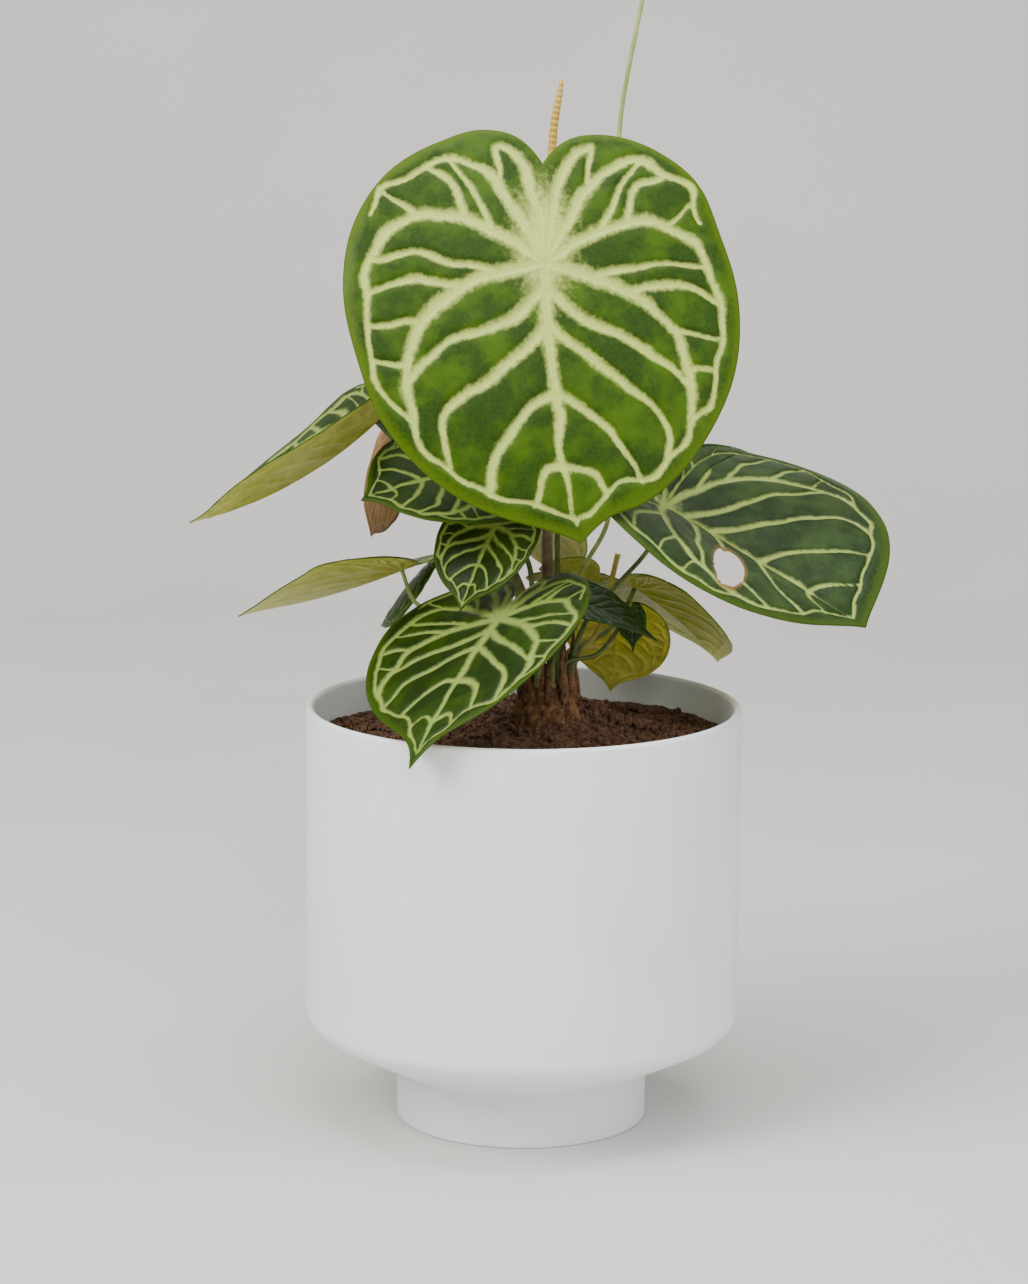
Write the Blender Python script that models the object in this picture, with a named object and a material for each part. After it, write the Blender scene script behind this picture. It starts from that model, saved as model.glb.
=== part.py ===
"""Potted velvet-leaf anthurium: a white ceramic planter, potting mix, a crown and its leaves.

The origin is the centre of the planter's flat underside, +Z points up and -Y is the front.
Lengths below are in millimetres; build_object() scales every finished mesh to metres.
"""
import math
from dataclasses import dataclass, field

import bmesh
import bpy
from mathutils import Vector

MM = 0.001
GAP = 0.3                      # clearance between pieces that touch

# Planter
POT_RADIUS = 80.0
POT_HEIGHT = 155.3
POT_WALL = 3.0
FOOT_RADIUS = 46.3
FOOT_HEIGHT = 19.3
SHOULDER_RADIUS = 77.6         # top of the cone that joins foot and wall
SHOULDER_HEIGHT = 34.7
WALL_START = 38.5              # height at which the upright wall begins
BASE_THICKNESS = 4.5
POT_SIDES = 64

# Potting mix and crown
SOIL_HEIGHT = 143.0
MOUND_HEIGHT = 3.0
MOUND_SPREAD = 26.0
CROWN_CENTRE = (9.0, 0.0)
CROWN_TOP = 163.0
CROWN_RADIUS = 12.0
CROWN_FLARE = 15.0
CROWN_BURIED_RADIUS = 10.0
CROWN_BURIED_BASE = 112.0

# Leaf blades
BLADE_THICKNESS = 0.7
LEAF_REACHES = (0.0, 0.4, 0.75, 1.0)
LEAF_ANGLES = (0, 6, 14, 27, 44, 66, 90, 114, 136, 154, 168, 180)
OUTLINE_ANGLES = (0, 8, 16, 28, 44, 62, 82, 102, 122, 142, 158, 170, 180)
OUTLINE = (1.0, 0.985, 0.965, 0.93, 0.875, 0.81, 0.75, 0.71, 0.68, 0.635, 0.575)
LOBE_END_SHARE = 0.43          # how far the last lobe ray falls towards the sinus
TIP_SPREAD = 5.0               # degrees over which the drawn-out tip fades
CURL_WIDTH = 0.75              # blade width, in blade lengths, that takes the full curl
LOBE_LENGTH = 0.5              # lobe length, in blade lengths, that takes the full droop

# Stalks
STALK_SAMPLES = 3              # straight pieces between two route points


@dataclass(frozen=True)
class Leaf:
    """One heart-shaped blade; shares are of its length, angles are in degrees."""
    name: str
    base: tuple                # where the stalk meets the blade
    heading: float             # compass direction of the tip: 0 is the front, 90 is +X
    rise: float                # slope of the blade's axis at the base
    roll: float
    length: float              # from the base to the tip
    left: float = 1.0
    right: float = 1.0
    lobes: float = 1.0
    sway: float = 0.0
    fold_left: float = 5.0
    fold_right: float = 5.0
    curl: float = -10.0
    arch: float = 20.0
    lobe_droop: float = 10.0
    twist: float = 0.0
    tip: float = 0.12
    sinus: float = 0.3
    outline_left: tuple = ()
    outline_right: tuple = ()


@dataclass(frozen=True)
class Stalk:
    """A leaf stalk from the crown to a blade, through the points of its route."""
    leaf: str
    foot: tuple                # compass direction and distance from the crown's centre
    radius: float
    lead: float                # straight run that meets the blade square
    rise: float = 7.0          # straight run that leaves the crown
    route: tuple = field(default_factory=tuple)
    taper: float = 0.8


LEAVES = (
    Leaf("leaf_tall", (6, -31, 319.6), 2, -68, -5, 99, sway=-0.14, fold_left=-2, fold_right=-2,
         curl=-8, arch=14, lobe_droop=14, tip=0.05,
         outline_left=(1, 0.95, 0.94, 0.90, 0.85, 0.81, 0.755, 0.70, 0.70, 0.65, 0.585, 0.51, 0.40),
         outline_right=(1, 1.0, 1.0, 0.98, 0.91, 0.81, 0.76, 0.73, 0.69, 0.63, 0.59, 0.52, 0.40)),
    Leaf("leaf_right", (50.5, 4, 228), 64, -24.5, 3, 85.5, left=1.18, right=0.96, lobes=0.35,
         sway=-0.11, fold_left=23.5, fold_right=22.5, curl=-28, arch=10.5, lobe_droop=0, twist=-19,
         tip=0.04),
    Leaf("leaf_left", (-54.5, 15, 257.5), -75, -42, 3, 79, left=0.8, right=0.75, lobes=0.35,
         fold_left=25, fold_right=17, arch=-30, lobe_droop=5, twist=-8, tip=0.1),
    Leaf("leaf_left_low", (-45, 5, 204), -123.5, -23, 2, 75.5, right=0.5, lobes=0.35, sway=0.04,
         fold_left=13, fold_right=12, curl=-14, arch=-9, twist=15, tip=0.08),
    Leaf("leaf_left_inner", (-19, -14, 242.5), -61, 0, -28, 44, lobes=0.6, fold_left=4, fold_right=6,
         curl=-12, arch=23, twist=-3, tip=0.11),
    Leaf("leaf_left_hanging", (-46.7, 44, 247.2), 249, -64, -34, 41.2, sway=0.02, fold_left=4,
         fold_right=8, curl=-19, arch=17, twist=6, tip=0.08),
    Leaf("leaf_left_back", (-34.1, 28, 203.5), 235, -43, -22, 37.5, lobes=0.4, fold_left=0, curl=-21,
         arch=10, twist=5, tip=0.11),
    Leaf("leaf_middle", (-10.5, -22, 224.5), -42, -52, -4, 34, lobes=0.6, fold_left=7, fold_right=8,
         curl=-6, arch=10, twist=2, tip=0.14),
    Leaf("leaf_front", (-9.5, -40, 194), -28, -28, 6, 72, left=0.85, right=1.12, lobes=0.95,
         sway=0.07, fold_left=1, fold_right=-8, curl=7, arch=17.5, lobe_droop=7.5, twist=-6,
         tip=0.20, sinus=0.2),
    Leaf("leaf_front_right", (21, -15, 195.5), 87, -16, 14, 30.5, fold_left=1, fold_right=7,
         curl=3, arch=23, lobe_droop=11, twist=11, tip=0.14),
    Leaf("leaf_young", (39, 2, 188), 15, -74, 0, 13.5, left=0.8, right=0.8, arch=5, tip=0.3),
    Leaf("leaf_right_hanging", (35.5, 40, 178), 184, -54, 16, 33, fold_right=2, curl=-15, arch=17,
         twist=-1, tip=0.16),
    Leaf("leaf_right_back", (41.2, 30, 193.6), 119.5, -31, -6, 49.2, right=1.02, lobes=0.4, sway=-0.02,
         fold_left=10, fold_right=16, curl=-35, arch=18, lobe_droop=7, twist=-12, tip=0.05),
    Leaf("leaf_back_small", (11.5, 21, 201.1), 122, -6, -27, 21, fold_right=8, curl=-7,
         lobe_droop=9, twist=3, tip=0.16),
    Leaf("leaf_back_pale", (9.5, 40, 216.5), 163, -58, 9, 26, left=0.91, right=0.9, fold_left=2,
         fold_right=0, curl=-17, arch=5, twist=1),
)

STALKS = (
    Stalk("leaf_tall", (-115, 3.6), 2.4, 12, route=((8, 3, 190), (8, 3, 215), (8, -5, 270)), taper=0.7),
    Stalk("leaf_right", (66, 9.3), 1.0, 8, route=((22.5, 0, 186), (32, 8, 196.5), (45, 6, 212))),
    Stalk("leaf_left", (-102, 9.3), 1.4, 10, route=((-6, 8, 205), (-30, 4, 234))),
    Stalk("leaf_left_low", (-122, 9.3), 0.9, 8),
    Stalk("leaf_left_inner", (-79, 9.3), 1.2, 8, route=((-4, 0, 205), (-14, -1, 228))),
    Stalk("leaf_left_hanging", (-162, 9.3), 1.1, 8, route=((-5, 16, 205), (-26, 30, 238))),
    Stalk("leaf_left_back", (-142, 9.3), 1.0, 8),
    Stalk("leaf_middle", (-54, 9.3), 1.1, 8, route=((2, -2, 205),)),
    Stalk("leaf_front", (-25, 9.3), 1.5, 8),
    Stalk("leaf_front_right", (8, 9.3), 1.1, 6),
    Stalk("leaf_young", (38, 9.3), 0.9, 4, route=((27, -4, 175),)),
    Stalk("leaf_right_hanging", (137, 9.3), 1.0, 8),
    Stalk("leaf_right_back", (114, 9.3), 1.0, 8, route=((31.7, 15, 181),)),
    Stalk("leaf_back_small", (157, 9.3), 0.9, 6),
    Stalk("leaf_back_pale", (178, 9.3), 1.0, 6, route=((9, 20, 180), (8.5, 38, 199))),
)

# Flowers: a spadix in seed behind the tall leaf, and a younger one on the long stalk
SPATHES = (
    Leaf("spathe", (8, 25, 321), 180, -62, 0, 36, left=0.3, right=0.3, lobes=0.1, curl=-40,
         arch=25, lobe_droop=0, tip=0.2),
    Leaf("young_spathe", (43.2, 25, 424.5), 170, 52, 0, 34, left=0.28, right=0.28, lobes=0.1,
         curl=30, arch=-20, lobe_droop=0, tip=0.2),
)
FLOWER_STALK_ROUTE = ((12, 8, 209), (10, 20, 270), (8.5, 22, 305), (8, 22, 319))
FLOWER_STALK_FOOT = (150, 3.6)
SPADIX_ROUTE = ((8, 22, 319.4), (8.2, 22, 338), (8.7, 22, 356), (10, 22, 369), (12.1, 22, 381))
YOUNG_STALK_ROUTE = ((20, 5, 202), (30, 6, 222), (30, 4, 245), (33, 8, 300), (33, 20, 362),
                     (38.3, 22, 397), (43, 22, 422))
YOUNG_STALK_FOOT = (60, 3.6)
OLD_STALK_ROUTE = ((27.3, 4, 183), (31.4, 13, 196.5), (34.3, 15, 209))
OLD_STALK_FOOT = (91, 9.3)
OLD_STALK_RADIUS = 1.0
YOUNG_SPADIX_ROUTE = ((43.1, 22, 422.4), (44.6, 22, 436), (46.2, 22, 450), (48, 22, 464))
FLOWER_STALK_RADIUS = 1.1
YOUNG_STALK_RADIUS = 0.95
SPADIX_RADIUS = 1.6
YOUNG_SPADIX_RADIUS = 1.4
SPADIX_PROFILE = (0.8, 1.0, 1.0, 0.95, 0.85, 0.45)

# Colours: red, green, blue, roughness
CERAMIC = (0.84, 0.86, 0.88, 0.6)
MIX = (0.06, 0.035, 0.022, 0.95)
FIBRE = (0.09, 0.045, 0.022, 0.9)
FOLIAGE = (0.05, 0.14, 0.02, 0.6)
STALK_GREEN = (0.16, 0.2, 0.03, 0.5)
SPADIX_ORANGE = (0.6, 0.33, 0.06, 0.6)


def clear_scene():
    """Removes the objects that Blender starts with."""
    for obj in list(bpy.data.objects):
        bpy.data.objects.remove(obj, do_unlink=True)


def finish_material(name, values):
    """Returns a Principled material with the given colour and roughness."""
    material = bpy.data.materials.get(name)
    if material:
        return material
    material = bpy.data.materials.new(name)
    material.use_nodes = True
    shader = material.node_tree.nodes["Principled BSDF"]
    shader.inputs["Base Color"].default_value = (*values[:3], 1.0)
    shader.inputs["Roughness"].default_value = values[3]
    material.diffuse_color = (*values[:3], 1.0)
    return material


def add_mesh(name, bm, material):
    """Scales a bmesh to metres and links it as a smooth-shaded object."""
    bmesh.ops.scale(bm, vec=(MM, MM, MM), verts=bm.verts)
    mesh = bpy.data.meshes.new(name)
    bm.to_mesh(mesh)
    bm.free()
    mesh.shade_smooth()
    mesh.set_sharp_from_angle(angle=math.radians(40))
    obj = bpy.data.objects.new(name, mesh)
    obj.data.materials.append(material)
    bpy.context.collection.objects.link(obj)
    return obj


def turned(profile, centre=(0.0, 0.0), sides=POT_SIDES):
    """Spins a closed profile of (radius, height) points about a vertical axis."""
    bm = bmesh.new()
    ring = [bm.verts.new((radius, 0, height)) for radius, height in profile]
    edges = [bm.edges.new(pair) for pair in zip(ring, ring[1:])]
    bmesh.ops.spin(bm, geom=ring + edges, cent=(0, 0, 0), axis=(0, 0, 1),
                   angle=math.tau, steps=sides, use_merge=True)
    bmesh.ops.remove_doubles(bm, verts=bm.verts, dist=0.001)
    bmesh.ops.recalc_face_normals(bm, faces=bm.faces)
    bmesh.ops.translate(bm, vec=(*centre, 0), verts=bm.verts)
    return bm


def arc(centre, radius, start, end, steps):
    """Returns points on an arc of a profile, angles in degrees."""
    turns = [math.radians(start + (end - start) * i / steps) for i in range(steps + 1)]
    return [(centre[0] + radius * math.cos(t), centre[1] + radius * math.sin(t)) for t in turns]


def planter():
    """The ceramic planter: a narrow foot, a sloping shoulder and an upright wall."""
    inner = POT_RADIUS - POT_WALL
    lip = POT_WALL / 2
    profile = [(0, 0), (FOOT_RADIUS - 0.6, 0), (FOOT_RADIUS, 0.6), (FOOT_RADIUS, FOOT_HEIGHT),
               (SHOULDER_RADIUS, SHOULDER_HEIGHT), (POT_RADIUS - 0.6, SHOULDER_HEIGHT + 1.6),
               (POT_RADIUS, WALL_START)]
    profile += arc((POT_RADIUS - lip, POT_HEIGHT - lip), lip, 0, 180, 4)
    profile += [(inner, WALL_START + POT_WALL), (SHOULDER_RADIUS - POT_WALL, SHOULDER_HEIGHT + POT_WALL),
                (FOOT_RADIUS - 4, FOOT_HEIGHT + POT_WALL), (FOOT_RADIUS - 4, BASE_THICKNESS),
                (0, BASE_THICKNESS)]
    return add_mesh("planter", turned(profile), finish_material("ceramic", CERAMIC))


def ground(x, y):
    """Height of the potting mix: level, with a low mound round the crown."""
    away = math.hypot(x - CROWN_CENTRE[0], y - CROWN_CENTRE[1])
    ripple = 0.5 * math.sin(x / 13) * math.cos(y / 17) * min(1.0, away / 40)
    return SOIL_HEIGHT + MOUND_HEIGHT * math.exp(-(away / MOUND_SPREAD) ** 2) + ripple


def potting_mix():
    """The potting mix that fills the planter, with a socket for the crown."""
    inner = POT_RADIUS - POT_WALL - GAP
    profile = [(0, BASE_THICKNESS + GAP), (FOOT_RADIUS - 4 - GAP, BASE_THICKNESS + GAP),
               (FOOT_RADIUS - 4 - GAP, FOOT_HEIGHT + POT_WALL + GAP),
               (SHOULDER_RADIUS - POT_WALL - GAP, SHOULDER_HEIGHT + POT_WALL + GAP),
               (inner, WALL_START + POT_WALL + GAP)]
    profile += [(radius, SOIL_HEIGHT) for radius in (inner, 60, 44, 30, 16, 0)]
    bm = turned(profile, sides=32)
    for vert in bm.verts:
        if vert.co.z > SOIL_HEIGHT - 0.1:
            vert.co.z = ground(vert.co.x, vert.co.y)
    obj = add_mesh("potting_mix", bm, finish_material("potting_mix", MIX))
    socket = CROWN_BURIED_RADIUS + GAP
    cutter = turned([(0, CROWN_BURIED_BASE - GAP), (socket, CROWN_BURIED_BASE - GAP),
                     (socket, CROWN_TOP), (0, CROWN_TOP)], CROWN_CENTRE, 20)
    tool = add_mesh("socket_cutter", cutter, finish_material("potting_mix", MIX))
    tool.hide_render = True
    tool.display_type = "WIRE"
    cut = obj.modifiers.new("socket", "BOOLEAN")
    cut.operation = "DIFFERENCE"
    cut.solver = "EXACT"
    cut.object = tool
    return obj


def crown():
    """The fibrous crown: a buried root stump, a flare on the mix and a flat top."""
    rest = SOIL_HEIGHT + MOUND_HEIGHT + 2 * GAP
    profile = [(0, CROWN_BURIED_BASE), (CROWN_BURIED_RADIUS, CROWN_BURIED_BASE),
               (CROWN_BURIED_RADIUS, rest), (CROWN_FLARE, rest + 0.4), (CROWN_RADIUS + 1, rest + 5),
               (CROWN_RADIUS, rest + 10), (CROWN_RADIUS - 0.5, CROWN_TOP), (0, CROWN_TOP)]
    bm = turned(profile, CROWN_CENTRE, 20)
    return add_mesh("crown", bm, finish_material("fibre", FIBRE))


def smooth_value(steps, values, at):
    """Reads a smooth curve through (step, value) pairs."""
    slopes = [(b - a) / (d - c) for a, b, c, d in zip(values, values[1:], steps, steps[1:])]
    spans = [b - a for a, b in zip(steps, steps[1:])]
    tangents = [slopes[0]]
    for before, after, left, right in zip(slopes, slopes[1:], spans, spans[1:]):
        tangents.append((right * before + left * after) / (left + right))
    tangents.append(slopes[-1])
    index = min(sum(1 for step in steps[1:] if step < at), len(spans) - 1)
    t = (at - steps[index]) / spans[index]
    low = (1 + 2 * t) * (1 - t) ** 2 * values[index] + t * (1 - t) ** 2 * spans[index] * tangents[index]
    high = t * t * (3 - 2 * t) * values[index + 1] + t * t * (t - 1) * spans[index] * tangents[index + 1]
    return low + high


def outline_radius(leaf, angle):
    """Distance from the base to the blade's edge; a positive angle is the right half."""
    own = leaf.outline_right if angle > 0 else leaf.outline_left
    if not own:
        drop = OUTLINE[-1] - leaf.sinus
        own = OUTLINE + (OUTLINE[-1] - LOBE_END_SHARE * drop, leaf.sinus)
    body = smooth_value(OUTLINE_ANGLES, own, abs(angle))
    return leaf.length * ((1 - leaf.tip) * body + leaf.tip * math.exp(-abs(angle) / TIP_SPREAD))


def bent(distance, turn, length):
    """Runs a distance along an arc; returns the advance, the drop and the slope."""
    rate = turn / length
    if abs(rate) < 1e-9:
        return distance, 0.0, 0.0
    slope = rate * distance
    return math.sin(slope) / rate, (1 - math.cos(slope)) / rate, slope


def leaf_axes(leaf):
    """Side, tip and upper-face directions of a blade at its base."""
    heading, rise, roll = (math.radians(v) for v in (leaf.heading, leaf.rise, leaf.roll))
    tip = Vector((math.sin(heading) * math.cos(rise), -math.cos(heading) * math.cos(rise), math.sin(rise)))
    upper = (Vector((0, 0, 1)) - tip.z * tip).normalized()
    side = tip.cross(upper)
    upper = math.cos(roll) * upper + math.sin(roll) * side
    return tip.cross(upper), tip, upper


def blade_point(leaf, angle, reach):
    """World point of a blade at an angle from its tip and a share of the way to its edge."""
    turn = math.radians(angle)
    radius = reach * outline_radius(leaf, angle)
    across = radius * math.sin(turn) * (leaf.right if angle > 0 else leaf.left)
    along = radius * math.cos(turn)
    if along >= 0:
        advance, drop, slope = bent(along, math.radians(leaf.arch), leaf.length)
        share = along / leaf.length
    else:
        reach_back = LOBE_LENGTH * leaf.length * leaf.lobes
        advance, drop, slope = bent(-along * leaf.lobes, math.radians(leaf.lobe_droop), reach_back)
        advance, slope, share = -advance, -slope, 0.0
    fold = math.radians(leaf.fold_right if across >= 0 else leaf.fold_left)
    rate = math.radians(leaf.curl) / (CURL_WIDTH * leaf.length)
    width = abs(across)
    if abs(rate) < 1e-9:
        out, up = width * math.cos(fold), width * math.sin(fold)
    else:
        out = (math.sin(fold + rate * width) - math.sin(fold)) / rate
        up = (math.cos(fold) - math.cos(fold + rate * width)) / rate
    out = math.copysign(out, across) + leaf.sway * leaf.length * share ** 2
    twist = math.radians(leaf.twist) * share
    sideways = out * math.cos(twist) - up * math.sin(twist)
    rise = out * math.sin(twist) + up * math.cos(twist)
    side, tip, upper = leaf_axes(leaf)
    forward = advance + math.sin(slope) * rise
    height = math.cos(slope) * rise - drop
    return Vector(leaf.base) + sideways * side + forward * tip + height * upper


def blade(leaf, material):
    """One blade: a polar grid about its base, laid on the curved leaf and thickened."""
    angles = [-a for a in reversed(LEAF_ANGLES[1:])] + list(LEAF_ANGLES)
    columns, rows = len(angles) - 1, len(LEAF_REACHES) - 1
    bm = bmesh.new()
    bmesh.ops.create_grid(bm, x_segments=columns, y_segments=rows, size=0.5)
    for vert in bm.verts:
        angle = angles[round((vert.co.x + 0.5) * columns)]
        reach = LEAF_REACHES[round((vert.co.y + 0.5) * rows)]
        vert.co = blade_point(leaf, angle, reach)
    bmesh.ops.remove_doubles(bm, verts=bm.verts, dist=0.01)
    obj = add_mesh(leaf.name, bm, material)
    shell = obj.modifiers.new("thickness", "SOLIDIFY")
    shell.thickness = BLADE_THICKNESS * MM
    shell.offset = 0
    return obj


def smooth_route(points):
    """Points on a smooth curve through a route whose first and last runs are straight."""
    knots = [Vector(p) for p in points]
    first, last = (knots[1] - knots[0]).normalized(), (knots[-1] - knots[-2]).normalized()
    inner = [(after - before).normalized() for before, after in zip(knots[1:], knots[3:-1])]
    headings = [first] + inner + [last]
    route = [knots[0]]
    for start, end, leave, arrive in zip(knots[1:-1], knots[2:-1], headings, headings[1:]):
        reach = (end - start).length
        for step in range(STALK_SAMPLES):
            t = step / STALK_SAMPLES
            route.append((1 + 2 * t) * (1 - t) ** 2 * start + t * (1 - t) ** 2 * reach * leave
                         + t * t * (3 - 2 * t) * end + t * t * (t - 1) * reach * arrive)
    return route + knots[-2:]


def tube(name, route, radii, material):
    """A capped round tube along a route, its radius read evenly from a list."""
    curve = bpy.data.curves.new(name, "CURVE")
    curve.dimensions = "3D"
    curve.bevel_depth = MM
    curve.bevel_resolution = 1
    curve.use_fill_caps = True
    spline = curve.splines.new("POLY")
    spline.points.add(len(route) - 1)
    for index, (point, place) in enumerate(zip(spline.points, route)):
        at = index / (len(route) - 1) * (len(radii) - 1)
        low = min(int(at), len(radii) - 2)
        point.co = (*(place * MM), 1.0)
        point.radius = radii[low] + (radii[low + 1] - radii[low]) * (at - low)
    obj = bpy.data.objects.new(name, curve)
    obj.data.materials.append(material)
    bpy.context.collection.objects.link(obj)
    return obj


def crown_foot(direction, distance):
    """A point just above the crown's flat top."""
    turn = math.radians(direction)
    return Vector((CROWN_CENTRE[0] + distance * math.sin(turn),
                   CROWN_CENTRE[1] - distance * math.cos(turn), CROWN_TOP + GAP))


def leaf_stalk(stalk, leaf, material):
    """A leaf's stalk: up from the crown, along its route and square on to the blade."""
    foot = crown_foot(*stalk.foot)
    upper = leaf_axes(leaf)[2]
    slack = stalk.radius * abs(math.tan(math.radians(min(leaf.fold_left, leaf.fold_right, 0))))
    end = Vector(leaf.base) - upper * (BLADE_THICKNESS / 2 + GAP + slack)
    points = [foot, foot + Vector((0, 0, stalk.rise)), *stalk.route, end - stalk.lead * upper, end]
    radii = (stalk.radius, stalk.radius * stalk.taper)
    return tube(leaf.name.replace("leaf", "stalk"), smooth_route(points), radii, material)


def flowers():
    """Both flower stalks with their spadices and spathes."""
    green = finish_material("stalk", STALK_GREEN)
    orange = finish_material("spadix", SPADIX_ORANGE)
    foot = crown_foot(*FLOWER_STALK_FOOT)
    route = smooth_route([foot, foot + Vector((0, 0, 8)), *FLOWER_STALK_ROUTE])
    tube("flower_stalk", route, (FLOWER_STALK_RADIUS, FLOWER_STALK_RADIUS), green)
    foot = crown_foot(*YOUNG_STALK_FOOT)
    route = smooth_route([foot, foot + Vector((0, 0, 8)), *YOUNG_STALK_ROUTE])
    tube("young_flower_stalk", route, (YOUNG_STALK_RADIUS, YOUNG_STALK_RADIUS * 0.8), green)
    foot = crown_foot(*OLD_STALK_FOOT)
    route = smooth_route([foot, foot + Vector((0, 0, 5)), *OLD_STALK_ROUTE])
    tube("old_stalk", route, (OLD_STALK_RADIUS, OLD_STALK_RADIUS), green)
    for name, points, radius in (("spadix", SPADIX_ROUTE, SPADIX_RADIUS),
                                 ("young_spadix", YOUNG_SPADIX_ROUTE, YOUNG_SPADIX_RADIUS)):
        tube(name, smooth_route(points), [radius * share for share in SPADIX_PROFILE], orange)
    for leaf in SPATHES:
        blade(leaf, green)


def build_object():
    """Builds every piece of the potted plant."""
    clear_scene()
    planter()
    potting_mix()
    crown()
    foliage = finish_material("foliage", FOLIAGE)
    stalk_green = finish_material("stalk", STALK_GREEN)
    by_name = {leaf.name: leaf for leaf in LEAVES}
    for leaf in LEAVES:
        blade(leaf, foliage)
    for stalk in STALKS:
        leaf_stalk(stalk, by_name[stalk.leaf], stalk_green)
    flowers()


build_object()
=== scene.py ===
"""Potted velvet-leaf anthurium: the visible pieces, their finishes, the light and the camera.

Lengths in the descriptions below are in millimetres, in the frame of the CAD model: the origin is
the centre of the planter's flat underside, +Z points up and -Y is the front.
"""

import logging
import math
from collections.abc import Callable, Sequence
from dataclasses import dataclass
from enum import Enum

import bmesh
import bpy
import numpy as np
from mathutils import Matrix, Vector, noise

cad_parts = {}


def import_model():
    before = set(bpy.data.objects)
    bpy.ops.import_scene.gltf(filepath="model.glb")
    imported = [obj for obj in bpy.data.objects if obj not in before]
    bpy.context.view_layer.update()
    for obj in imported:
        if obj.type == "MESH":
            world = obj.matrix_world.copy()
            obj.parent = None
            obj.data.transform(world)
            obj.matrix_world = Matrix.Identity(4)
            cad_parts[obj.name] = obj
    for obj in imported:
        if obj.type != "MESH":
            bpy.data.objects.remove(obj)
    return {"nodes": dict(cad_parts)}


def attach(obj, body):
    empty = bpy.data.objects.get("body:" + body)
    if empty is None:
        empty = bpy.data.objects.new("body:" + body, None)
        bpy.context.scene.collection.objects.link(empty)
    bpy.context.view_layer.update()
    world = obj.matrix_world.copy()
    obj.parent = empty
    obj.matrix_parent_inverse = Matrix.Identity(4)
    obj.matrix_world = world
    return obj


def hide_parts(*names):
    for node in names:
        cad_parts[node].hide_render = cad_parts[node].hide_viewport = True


LOG = logging.getLogger("anthurium")
MM = 0.001
ROOT = "root"
SEED = 7

Array = np.ndarray
Point = tuple[float, ...]
Colour = tuple[float, float, float]
Socket = bpy.types.NodeSocket
Material = bpy.types.Material
Reader = Callable[[Array, Array], Array]

# Heights and places that several sub-assemblies share
SOIL_HEIGHT = 143.0
MOUND_HEIGHT = 3.0
CROWN_CENTRE = (9.0, 0.0)
CROWN_TOP = 163.0
STALK_GAP = 0.3

# Leaf blades
BLADE_THICKNESS = 0.45
BLADE_WELD = 0.002
OUTLINE_ANGLES = (0, 8, 16, 28, 44, 62, 82, 102, 122, 142, 158, 170, 180)
OUTLINE = (1.0, 0.985, 0.965, 0.93, 0.875, 0.81, 0.75, 0.71, 0.68, 0.635, 0.575)
LOBE_END_SHARE = 0.43
TIP_SPREAD = 5.0
CURL_WIDTH = 0.75
LOBE_LENGTH = 0.5

# Veins: points as (angle from the tip, share of the way to the edge), widths in leaf lengths
VEIN_STEPS = 5
LINE_WIDTH = 0.35
WANDER = 0.035                 # how far veins stray from the pattern


@dataclass(frozen=True)
class Vein:
    """One vein of the right half; the left half mirrors it."""
    points: tuple[Point, ...]
    start: float               # half-width of its pale band at the start
    end: float


VEINS = (
    Vein(((0, 0.0), (0, 0.3), (0, 0.6), (0, 0.8), (0, 0.95)), 0.044, 0.007),
    Vein(((0, 0.0), (75, 0.2), (72, 0.42), (63, 0.66), (50, 0.82), (41, 0.91)), 0.042, 0.02),
    Vein(((50, 0.82), (41, 0.91), (30, 0.93), (21, 0.92), (11, 0.91), (0, 0.92)), 0.02, 0.01),
    Vein(((0, 0.09), (32, 0.27), (47, 0.48), (50, 0.63), (50, 0.8)), 0.034, 0.016),
    Vein(((0, 0.22), (17, 0.36), (33, 0.64), (35, 0.79), (29, 0.92)), 0.03, 0.015),
    Vein(((0, 0.46), (11, 0.59), (18, 0.75), (19, 0.92)), 0.026, 0.014),
    Vein(((0, 0.72), (6, 0.8), (9, 0.92)), 0.02, 0.012),
    Vein(((0, 0.0), (123, 0.28), (118, 0.55), (107, 0.77), (88, 0.88), (70, 0.92), (57, 0.93)), 0.04, 0.014),
    Vein(((57, 0.93), (48, 0.93), (41, 0.91)), 0.014, 0.014),
    Vein(((0, 0.0), (152, 0.32), (149, 0.68), (138, 0.87), (120, 0.93), (107, 0.92)), 0.04, 0.012),
    Vein(((0, 0.0), (172, 0.45), (168, 0.78), (160, 0.87), (153, 0.62)), 0.042, 0.014),
    Vein(((73, 0.42), (82, 0.68), (80, 0.89)), 0.024, 0.014),
    Vein(((77, 0.24), (92, 0.55), (92, 0.87)), 0.022, 0.013),
    Vein(((64, 0.66), (69, 0.91)), 0.016, 0.012),
    Vein(((54, 0.8), (59, 0.92)), 0.014, 0.011),
    Vein(((120, 0.5), (132, 0.7), (131, 0.88)), 0.02, 0.012),
    Vein(((123, 0.34), (136, 0.6), (139, 0.86)), 0.02, 0.012),
    Vein(((111, 0.72), (115, 0.91)), 0.014, 0.011),
)


class Look(Enum):
    """How a leaf is coloured."""
    BRIGHT = "bright"
    VELVET = "velvet"
    DARK = "dark"
    MID = "mid"
    DEEP = "deep"
    PALE = "pale"
    TAN = "tan"
    # Lime: the leaf's own green above; the underside is made much brighter to paint light shining through
    # the leaf from behind.
    LIME_PAINTED_BACKLIGHT = "lime_painted_backlight"


class StalkLook(Enum):
    """How a stalk is coloured."""
    GREEN = "stalk_green"
    PALE = "stalk_pale"
    BROWN = "stalk_brown"
    YELLOW = "stalk_yellow"


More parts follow.
